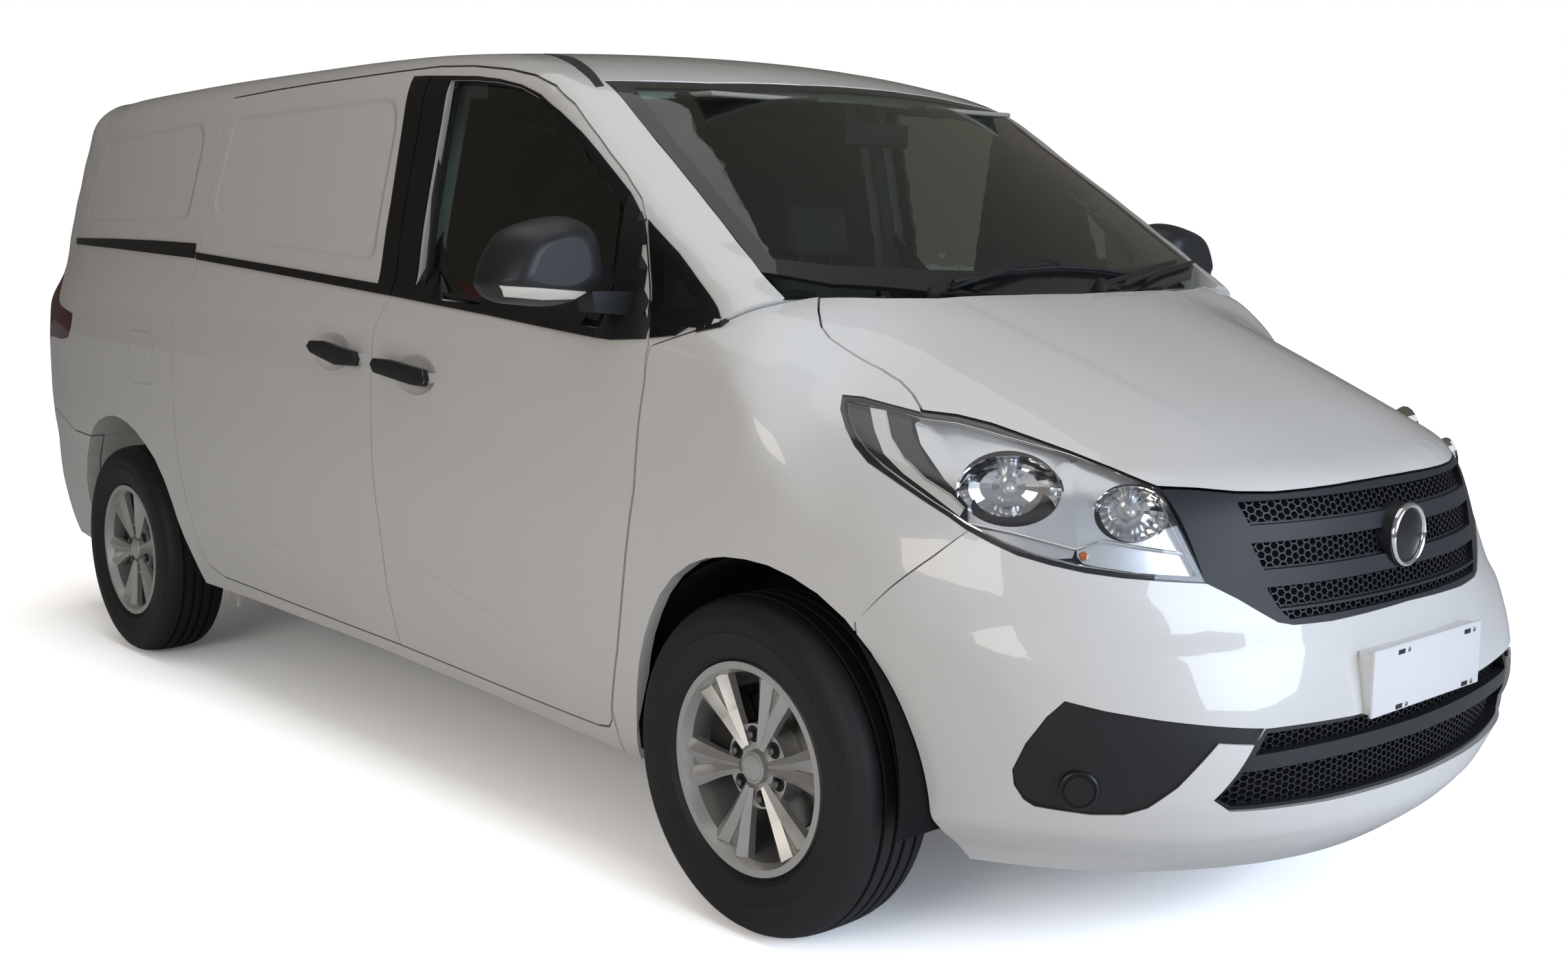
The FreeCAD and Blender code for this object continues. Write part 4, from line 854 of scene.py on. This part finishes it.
# Near-black sheets behind both meshes are painted shade in the openings
backing("grille", upper_skin, 0.86, 0.25, 0.840, BARS[0], BARS[-1], 0.034, BOSS_HALF)
windows = [(low, high, lower_half, LOWER_TOP, LOWER_BOTTOM) for low, high in LOWER_ROWS]
grille("lower", lower_skin, windows, (0.0210, 0.0130), 0.15, 0.024, 0.007, 0.0)
backing("lower", lower_skin, 1.10, 0.165, 0.466, LOWER_TOP, LOWER_BOTTOM, 0.046, 0.0)

BADGE_RING = [(0.0525, -0.002), (0.0525, 0.0030), (0.0545, 0.0065), (0.0580, 0.0080), (0.0615, 0.0065),
              (0.0635, 0.0030), (0.0635, -0.002)]
BADGE_DISC = [(0.0, 0.0035), (0.046, 0.0028), (0.0530, 0.0010), (0.0530, -0.002)]
BADGE_HEIGHT = 0.852
boss, _, _, _ = upper_skin.ray_cast(Vector((4, 0, BADGE_HEIGHT)), BACK)
finish_piece(spun(BADGE_RING, boss, AHEAD, 72, closed=True), "badge_ring", chrome, "body")
finish_piece(spun(BADGE_DISC, boss, AHEAD, 72), "badge_disc", film_black, "body")

# %% [markdown]
# ## Number plate carrier
#
# Blank white plastic with four slots and a small screw beside each.

# %% Plate
PLATE_LOW, PLATE_HIGH = (2.5735, -0.210, 0.532), (2.5815, 0.210, 0.662)
BACK_LOW, BACK_HIGH = (2.545, -0.205, 0.537), (2.574, 0.205, 0.657)
SLOTS = [(-0.110, 0.647), (0.150, 0.647), (-0.110, 0.540), (0.150, 0.540)]
SLOT_HALF, SLOT_X, SCREW_X, SCREW_ASIDE = (0.013, 0.005), (2.579, 2.5820), 2.5, 0.028
SCREW = [(0.0, 0.0835), (0.0035, 0.0830), (0.0050, 0.0815), (0.0050, 0.080)]

rounded_box("plate_front", PLATE_LOW, PLATE_HIGH, plate_white, "body", 0.003)
for k, (y, z) in enumerate(SLOTS):
    low, high = ((x, y + s * SLOT_HALF[0], z + s * SLOT_HALF[1]) for x, s in zip(SLOT_X, (-1, 1)))
    rounded_box(f"plate_slot_{k}", low, high, trim_black, "body", 0.0012)
    screw = spun(SCREW, (SCREW_X, y + SCREW_ASIDE, z), AHEAD, 16)
    finish_piece(screw, f"plate_screw_{k}", zinc, "body")
rounded_box("plate_backing", BACK_LOW, BACK_HIGH, plate_white, "body", 0.003)
print("plate ready")

# %% [markdown]
# ## Headlamps
#
# Under the lens sit a black side section with a pale light strip, satin bezels and two chrome bowls, spun
# with few steps so that their flats glint one by one. Places run along the lamp (u), in height (z) and in
# depth.

# %% Headlamps
LAMP_TURN = math.radians(-48)
LAMP_OUTLINE = [(0.772, 1.116), (0.811, 1.113), (0.870, 1.100), (0.932, 1.087), (0.996, 1.081),
                (1.060, 1.068), (1.134, 1.046), (1.206, 1.024), (1.283, 0.998), (1.365, 0.968),
                (1.386, 0.925), (1.407, 0.886), (1.428, 0.845), (1.449, 0.805), (1.380, 0.811),
                (1.296, 0.819), (1.229, 0.828), (1.168, 0.840), (1.108, 0.855), (1.061, 0.874),
                (1.016, 0.895), (0.985, 0.914), (0.933, 0.941), (0.877, 0.972), (0.830, 0.998),
                (0.802, 1.026), (0.783, 1.057), (0.770, 1.090)]
CHROME_RIM = [(0.784, 1.101), (0.862, 1.089), (0.935, 1.073), (0.996, 1.068), (1.042, 1.058), (1.130, 1.038),
              (1.203, 1.021), (1.283, 0.996), (1.352, 0.970), (1.388, 0.900), (1.434, 0.815), (1.330, 0.823),
              (1.213, 0.840), (1.140, 0.856), (1.087, 0.874), (1.017, 0.905), (0.955, 0.937), (0.903, 0.967),
              (0.860, 0.993), (0.827, 1.019), (0.802, 1.048), (0.788, 1.078)]
BLACK_SIDE = [(0.782, 1.104), (0.860, 1.094), (0.905, 1.084), (0.912, 1.050), (0.945, 1.000), (0.990, 0.962),
              (1.018, 0.935), (1.018, 0.896), (0.985, 0.914), (0.933, 0.941), (0.877, 0.972), (0.830, 0.998),
              (0.802, 1.026), (0.788, 1.060)]
STRIP_OUTER = [(0.826, 1.096), (0.838, 1.055), (0.859, 1.014), (0.898, 0.982), (0.954, 0.948), (1.004, 0.916)]
STRIP_INNER = [(0.860, 1.090), (0.874, 1.043), (0.901, 1.007), (0.939, 0.976), (0.989, 0.950), (1.012, 0.930)]
LOWER_LINE = [(1.020, 0.903), (1.105, 0.889), (1.212, 0.865), (1.265, 0.880), (1.330, 0.868), (1.405, 0.856)]
# Bowls: place along the lamp, height, half width and half height of the mouth
MAIN_BOWL, SECOND_BOWL = (1.094, 0.962, 0.094, 0.062), (1.312, 0.925, 0.066, 0.050)
BULB = (1.227, 0.852)


class LampFrame:
    """Places in a headlamp, with the lens hit from outside and depth counted into the lamp."""

    def __init__(self, side, tag):
        self.forward = Vector((math.cos(LAMP_TURN), -side * math.sin(LAMP_TURN), 0))
        self.along = Vector((-math.sin(LAMP_TURN), -side * math.cos(LAMP_TURN), 0))
        self.tree = skin_tree(f"headlamp_lens_{tag}")

    def at(self, u, z, depth):
        start = self.along * u + self.forward * 3.5 + Vector((0, 0, z))
        place, _, _, _ = self.tree.ray_cast(start, -self.forward)
        if place is None:
            place = start - self.forward * 1.8
            for _ in range(4):
                near, *_ = self.tree.find_nearest(place)
                place = start + self.forward * (near - start).dot(self.forward)
        return place - self.forward * depth

    def sheet(self, bm, depth):
        """Lays a flat sheet in (u, z) at one depth below the lens."""
        for vert in bm.verts:
            vert.co = self.at(vert.co.x, vert.co.y, depth)
        return bm


def polar_outline(centre, outline, steps):
    """Where rays from a point meet an outline, one for each step round."""
    met = []
    for k in range(steps):
        angle = math.tau * k / steps
        ray = (math.cos(angle), math.sin(angle))
        best = None
        for a, b in zip(outline, outline[1:] + outline[:1]):
            edge = (b[0] - a[0], b[1] - a[1])
            cross = ray[0] * edge[1] - ray[1] * edge[0]
            if abs(cross) < 1e-9:
                continue
            gap = (a[0] - centre[0], a[1] - centre[1])
            reach = (gap[0] * edge[1] - gap[1] * edge[0]) / cross
            share = (gap[0] * ray[1] - gap[1] * ray[0]) / cross
            if reach > 0 and -1e-6 <= share <= 1 + 1e-6 and (best is None or reach < best):
                best = reach
        met.append((centre[0] + ray[0] * best, centre[1] + ray[1] * best))
    return met


def oval(centre, half_u, half_v, steps):
    angles = [math.tau * k / steps for k in range(steps)]
    return [(centre[0] + half_u * math.cos(t), centre[1] + half_v * math.sin(t)) for t in angles]


def lamp_piece(bm, name, material, side):
    """Finishes a piece of the right lamp, or of the left one as its mirror image."""
    if side > 0:
        for vert in bm.verts:
            vert.co.y = -vert.co.y
    return finish_piece(bm, name, material, "body", smooth=not name.startswith("bowl"))


BEZEL_MAIN = [(0.985, 0.962), (0.920, 1.040), (0.912, 1.082), (0.996, 1.074), (1.060, 1.060), (1.134, 1.039),
              (1.206, 1.017), (1.216, 0.850), (1.168, 0.846), (1.108, 0.861), (1.061, 0.880), (1.016, 0.901)]
BEZEL_SECOND = [(1.206, 1.017), (1.283, 0.991), (1.360, 0.961), (1.381, 0.921), (1.402, 0.883),
                (1.440, 0.811), (1.380, 0.817), (1.296, 0.825), (1.216, 0.842)]
BOWL_CURVE = [(0.93, -0.010), (0.80, -0.022), (0.58, -0.033), (0.34, -0.039)]
BULB_CURVE = [(0.0, 0.0), (0.007, -0.002), (0.0115, -0.008), (0.0125, -0.024), (0.0125, -0.040)]
AMBER_CURVE = [(0.0, 0.010), (0.006, 0.008), (0.009, 0.002), (0.009, -0.010)]
BOWLS = (("main", MAIN_BOWL, BEZEL_MAIN), ("second", SECOND_BOWL, BEZEL_SECOND))
RIM_STEPS, BOWL_STEPS = 48, 22
lamp = LampFrame(-1, "right")
sheet_wall = lamp.forward * -0.004

for side, tag in SIDES:
    for label, (u, z, half_u, half_z), outline in BOWLS:
        hole = oval((u, z), half_u, half_z, RIM_STEPS)
        band = flat_ring(polar_outline((u, z), outline, RIM_STEPS), hole, 0.4)
        bezel = pushed_back(lamp.sheet(band, 0.022), lamp.forward * -0.003)
        lamp_piece(bezel, f"bezel_{label}_{tag}", satin_silver, side)
        mouth = lamp.at(u, z, 0.020)
        profile = [(half_z + 0.003, 0.004), (half_z, 0.0)] + [(half_z * r, d) for r, d in BOWL_CURVE]
        bowl = spun(profile + [(0.008, -0.041)], mouth, lamp.forward, BOWL_STEPS)
        for vert in bowl.verts:
            across = (vert.co - mouth).dot(lamp.along)
            vert.co += lamp.along * (across * (half_u / half_z - 1))
        lamp_piece(bowl, f"bowl_{label}_{tag}", chrome, side)
        bulb = spun(BULB_CURVE, mouth - lamp.forward * 0.004, lamp.forward, 24)
        lamp_piece(bulb, f"bulb_{label}_{tag}", satin_silver, side)
    black = pushed_back(lamp.sheet(flat_sheet(BLACK_SIDE, 0.03), 0.013), sheet_wall)
    lamp_piece(black, f"lamp_black_side_{tag}", lamp_dark, side)
    guide = pushed_back(lamp.sheet(flat_sheet(strip(STRIP_INNER, STRIP_OUTER), 0.02), 0.008), sheet_wall)
    lamp_piece(guide, f"light_strip_{tag}", light_guide, side)
    lines = bmesh.new()
    for points, depth, width, height, loop in ((CHROME_RIM, 0.007, 0.0045, 0.004, True),
                                               (LOWER_LINE, 0.016, 0.006, 0.006, False),
                                               (STRIP_INNER, 0.007, 0.003, 0.003, False)):
        rod([lamp.at(u, z, depth) for u, z in points], lamp.forward, width, height, lines, loop)
    lamp_piece(lines, f"lamp_chrome_{tag}", chrome, side)
    turn_bulb = spun(AMBER_CURVE, lamp.at(*BULB, 0.024), lamp.forward, 20)
    lamp_piece(turn_bulb, f"turn_bulb_{tag}", amber, side)
    seal = rod([lamp.at(u, z, 0.0) for u, z in LAMP_OUTLINE], lamp.forward, 0.0055, 0.003, loop=True)
    lamp_piece(seal, f"lamp_seal_{tag}", trim_black, side)
print("headlamps ready")

# %% [markdown]
# ## Fog lamp covers
#
# A round blank cover with a shallow groove sits in each black surround.

# %% Fog covers
FOG_COVER = (1.226, 0.440)
COVER_CURVE = [(0.0, 0.003), (0.026, 0.0025), (0.0275, 0.0005), (0.0295, 0.0005), (0.031, 0.0025),
               (0.0345, 0.0020), (0.0365, 0.0), (0.0365, -0.006)]
for side, tag in SIDES:
    lamp = LampFrame(side, tag)
    lamp.tree = skin_tree(f"fog_surround_{tag}")
    cover = spun(COVER_CURVE, lamp.at(*FOG_COVER, 0.0), lamp.forward, 48)
    finish_piece(cover, f"fog_cover_{tag}", film_black, "body")
print("fog covers ready")

# %% [markdown]
# ## Mirrors
#
# A turn indicator strip is let into the front of each shell, and the glass sits back in the rear face.

# %% Mirrors
MIRROR_LINE = [(1.242, 1.330), (1.217, 1.387), (1.181, 1.429), (1.116, 1.452), (1.046, 1.461), (0.990, 1.440),
               (0.968, 1.382), (0.966, 1.330), (1.046, 1.280), (1.169, 1.281), (1.224, 1.297)]
MIRROR_MIDDLE = (1.105, 1.365)
INDICATOR = [(1.229, 1.322), (1.150, 1.316), (1.040, 1.307), (1.062, 1.294), (1.140, 1.294), (1.215, 1.301)]
PANE_SHARE = 0.84
RIM_X, PANE_BACK, PANE_FRONT = 1.1330, 1.1335, 1.1375
for side, tag in SIDES:
    door = f"front_door_{tag}"
    indicator = flat_sheet([(side * y, z) for y, z in INDICATOR], 0.02)
    shell = skin_tree(f"mirror_{tag}")
    laid(f"indicator_{tag}", indicator, shell, FROM_FRONT, 0.0030, 0.005, light_guide, door)
    my, mz = MIRROR_MIDDLE
    pane = [(side * (my + (y - my) * PANE_SHARE), mz + (z - mz) * PANE_SHARE) for y, z in MIRROR_LINE]
    prism_piece(f"mirror_glass_{tag}", pane, lambda u, v, d: Vector((d, u, v)), PANE_BACK, PANE_FRONT,
                mirror_glass, door)
    rim = rod([Vector((RIM_X, y, z)) for y, z in pane], AHEAD, 0.006, 0.006, loop=True)
    finish_piece(rim, f"mirror_rim_{tag}", trim_black, door)
print("mirrors ready")

# %% [markdown]
# ## Seats
#
# Seat pads are foam under stretched cloth: a block is remeshed, then blown up a little as cloth with
# gravity off. It starts slightly smaller than the solid seat, and both seats use the same three meshes.

# %% Seats
FRAMES = 20
PADS = {
    "cushion": ([(0.490, 0.652), (0.955, 0.652), (0.968, 0.700), (0.955, 0.772), (0.900, 0.780),
                 (0.560, 0.762), (0.490, 0.770)], 0.228, 0.022),
    "back": ([(0.440, 0.770), (0.552, 0.770), (0.535, 0.900), (0.462, 1.310), (0.440, 1.322), (0.368, 1.322),
              (0.358, 1.300)], 0.218, 0.022),
    "headrest": ([(0.372, 1.358), (0.436, 1.358), (0.442, 1.372), (0.422, 1.500), (0.408, 1.508),
                  (0.366, 1.508)], 0.120, 0.012),
}
SEAT_Y = 0.400
# The frame below the cushion and the two posts of the headrest
SEAT_BLOCKS = [((0.500, -0.200, 0.470), (0.960, 0.200, 0.652)),
               ((0.397, -0.070, 1.30), (0.409, -0.055, 1.37)), ((0.397, 0.055, 1.30), (0.409, 0.070, 1.37))]
PAD_ROUND, PRESSURE, FINE_VOXEL, VOXEL, PUFF_SHARE = 0.016, 4.0, 0.006, 0.010, 0.6


def pad(name, outline, half_width, puff):
    """One pad about y = 0: extruded, rounded, remeshed and inflated as cloth."""
    bm = bmesh.new()
    bm.faces.new([bm.verts.new((x, -half_width, z)) for x, z in outline])
    pushed_back(bm, Vector((0, 2 * half_width, 0)))
    bmesh.ops.recalc_face_normals(bm, faces=bm.faces)
    rounded(bm, bm.edges[:], PAD_ROUND, 2)
    mesh = bpy.data.meshes.new(name)
    bm.to_mesh(mesh)
    bm.free()
    piece = bpy.data.objects.new(name, mesh)
    scene.collection.objects.link(piece)
    bpy.context.view_layer.objects.active = piece
    piece.select_set(True)
    remesh = piece.modifiers.new("even_faces", "REMESH")
    remesh.mode, remesh.voxel_size = "VOXEL", FINE_VOXEL if puff < 0.02 else VOXEL
    bpy.ops.object.modifier_apply(modifier=remesh.name)
    cloth_sim = piece.modifiers.new("blown_up", "CLOTH")
    cloth_sim.settings.use_pressure = True
    cloth_sim.settings.uniform_pressure_force = PRESSURE
    cloth_sim.settings.effector_weights.gravity = 0.0
    for k in range(1, FRAMES + 1):
        scene.frame_set(k)
    moved = piece.evaluated_get(bpy.context.evaluated_depsgraph_get())
    ends = [v.co.copy() for v in moved.data.vertices]
    piece.modifiers.remove(cloth_sim)
    for vert, end in zip(piece.data.vertices, ends):
        shift = end - vert.co
        vert.co += shift * min(1.0, puff * PUFF_SHARE / max(shift.length, 1e-6))
    scene.frame_set(1)
    smooth = piece.modifiers.new("evened", "SMOOTH")
    smooth.iterations, smooth.factor = 8, 0.6
    bpy.ops.object.modifier_apply(modifier=smooth.name)
    piece.data.shade_smooth()
    piece.select_set(False)
    return piece


pads = [pad(f"pad_{label}", *row) for label, row in PADS.items()]
for node, y in (("driver_seat", -SEAT_Y), ("passenger_seat", SEAT_Y)):
    bm = bmesh.new()
    for piece in pads:
        bm.from_mesh(piece.data)
    for low, high in SEAT_BLOCKS:
        for vert in bmesh.ops.create_cube(bm, size=1.0)["verts"]:
            vert.co = Vector([a + (c + 0.5) * (b - a) for a, b, c in zip(low, high, vert.co)])
    bmesh.ops.translate(bm, verts=bm.verts, vec=(0, y, 0))
    seat = finish_piece(bm, f"cloth_{node}", cloth, "body", sharp=60)
    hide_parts(node)
for piece in pads:
    bpy.data.objects.remove(piece)
print("seats ready")

# %% [markdown]
# ## Cab details
#
# What shows through the glass: interior mirror, sun visors, instrument hood and a grab handle.

# %% Cab details
VISOR_Y, VISOR_HALF = 0.360, 0.17
rounded_box("inner_mirror", (1.035, -0.115, 1.640), (1.055, 0.115, 1.700), dash_dark, "body", 0.008)
rounded_box("instrument_hood", (1.150, -0.560, 1.180), (1.330, -0.240, 1.262), dash_dark, "body", 0.020)
for side, tag in SIDES:
    low, high = (0.900, side * VISOR_Y - VISOR_HALF, 1.742), (1.040, side * VISOR_Y + VISOR_HALF, 1.754)
    rounded_box(f"visor_{tag}", low, high, trim_grey, "body", 0.005)
GRAB = [(0.954, 1.646), (1.010, 1.661), (1.100, 1.615), (1.203, 1.553), (1.183, 1.532), (1.104, 1.537),
        (1.020, 1.575), (0.969, 1.606)]
prism_piece("grab_handle", GRAB, lambda u, v, d: Vector((u, d, v)), 0.605, 0.630, trim_black, "body", 0.004)
print("cab details ready")

# %% [markdown]
# ## Tailgate details
#
# A blank plate in its carrier, with a grip above it.

# %% Tailgate details
def oblong(half_width, low, high):
    return [(-half_width, low), (half_width, low), (half_width, high), (-half_width, high)]


gate_skin = skin_tree("tailgate")
GATE_PIECES = (("plate_rear", oblong(0.240, 0.960, 1.080), plate_white, 0.009, 0.008),
               ("plate_rear_carrier", oblong(0.290, 0.940, 1.105), trim_black, 0.003, 0.006),
               ("tailgate_grip", oblong(0.340, 1.125, 1.175), trim_black, 0.016, 0.020))
for name, points, material, lift, depth in GATE_PIECES:
    laid(name, flat_sheet(points, 0.06), gate_skin, FROM_BEHIND, lift, depth, material, "tailgate")
print("tailgate details ready")

# %% [markdown]
# ## Floor, backdrop and light
#
# A pale floor and a white surround. The world gives a warm fill from behind and a cooler one in front,
# where the main soft box stands, so that the nose reads brighter and bluer than the side.

# %% Studio
# For the camera the floor counts several times over and glows away from the van, so that only shadow shows
FLOOR_COPIES, FLOOR_SIZE, GLOW_FROM, GLOW_TO = 4, 60, 2.6, 6.0
floor_material, tree, shader = new_finish("pale_floor", "none", Base_Color=linear("F4F4F4"), Roughness=0.9)
distance = add_node(tree, "VectorMath", {0: object_place(tree)}, operation="LENGTH").outputs["Value"]
lift = step(tree, distance, GLOW_FROM, GLOW_TO, 0.05, 0.75, "LINEAR")
both = add_node(tree, "Emission", {"Color": (1, 1, 1, 1), "Strength": lift})
for _ in range(FLOOR_COPIES):
    both = add_node(tree, "AddShader", {0: both.outputs[0], 1: shader.outputs[0]})
camera_ray = add_node(tree, "LightPath").outputs["Is Camera Ray"]
show(tree, mixed(tree, camera_ray, shader, both))
bm = bmesh.new()
bmesh.ops.create_grid(bm, x_segments=1, y_segments=1, size=FLOOR_SIZE)
floor_mesh = bpy.data.meshes.new("floor")
bm.to_mesh(floor_mesh)
bm.free()
floor = bpy.data.objects.new("floor", floor_mesh)
scene.collection.objects.link(floor)
floor_mesh.materials.append(floor_material)

world = bpy.data.worlds.new("studio")
world.use_nodes = True
scene.world = world
tree = world.node_tree
tree.nodes.clear()
place = add_node(tree, "TexCoord").outputs["Generated"]
front = add_node(tree, "SeparateXYZ", {0: place}).outputs["X"]
tone = step(tree, front, -0.6, 0.9, 0.0, 1.0, "LINEAR")
tint = add_node(tree, "Mix", {"Factor": tone, "A": linear("F2E6D6"), "B": linear("E4EEFA")}, data_type="RGBA")
level = step(tree, front, -0.8, 0.8, 0.10, 0.34, "LINEAR")
fill = add_node(tree, "Background", {"Color": tint.outputs["Result"], "Strength": level})
backdrop = add_node(tree, "Background", {"Color": (1, 1, 1, 1), "Strength": 1.0})
camera_ray = add_node(tree, "LightPath").outputs["Is Camera Ray"]
add_node(tree, "OutputWorld", {"Surface": mixed(tree, camera_ray, fill, backdrop).outputs[0]})


def soft_box(name, place, aim, size, power, tint):
    lamp = bpy.data.lights.new(name, "AREA")
    lamp.shape = "RECTANGLE"
    lamp.size, lamp.size_y = size
    lamp.energy = power
    lamp.color = linear(tint)[:3]
    box = bpy.data.objects.new(name, lamp)
    scene.collection.objects.link(box)
    box.location = place
    box.rotation_euler = (Vector(aim) - Vector(place)).to_track_quat("-Z", "Y").to_euler()
    return box


soft_box("front_box", (8.0, 1.0, 2.6), (2.0, 0, 0.7), (5, 3), 270, "DCE8FA")
soft_box("top_box", (0, -0.5, 6.0), (0, 0, 1), (7, 4), 70, "FFFFFF")
soft_box("side_box", (3.2, -6.0, 2.4), (1.0, -0.9, 0.9), (3, 2), 62, "FBF3EA")
print("studio ready")
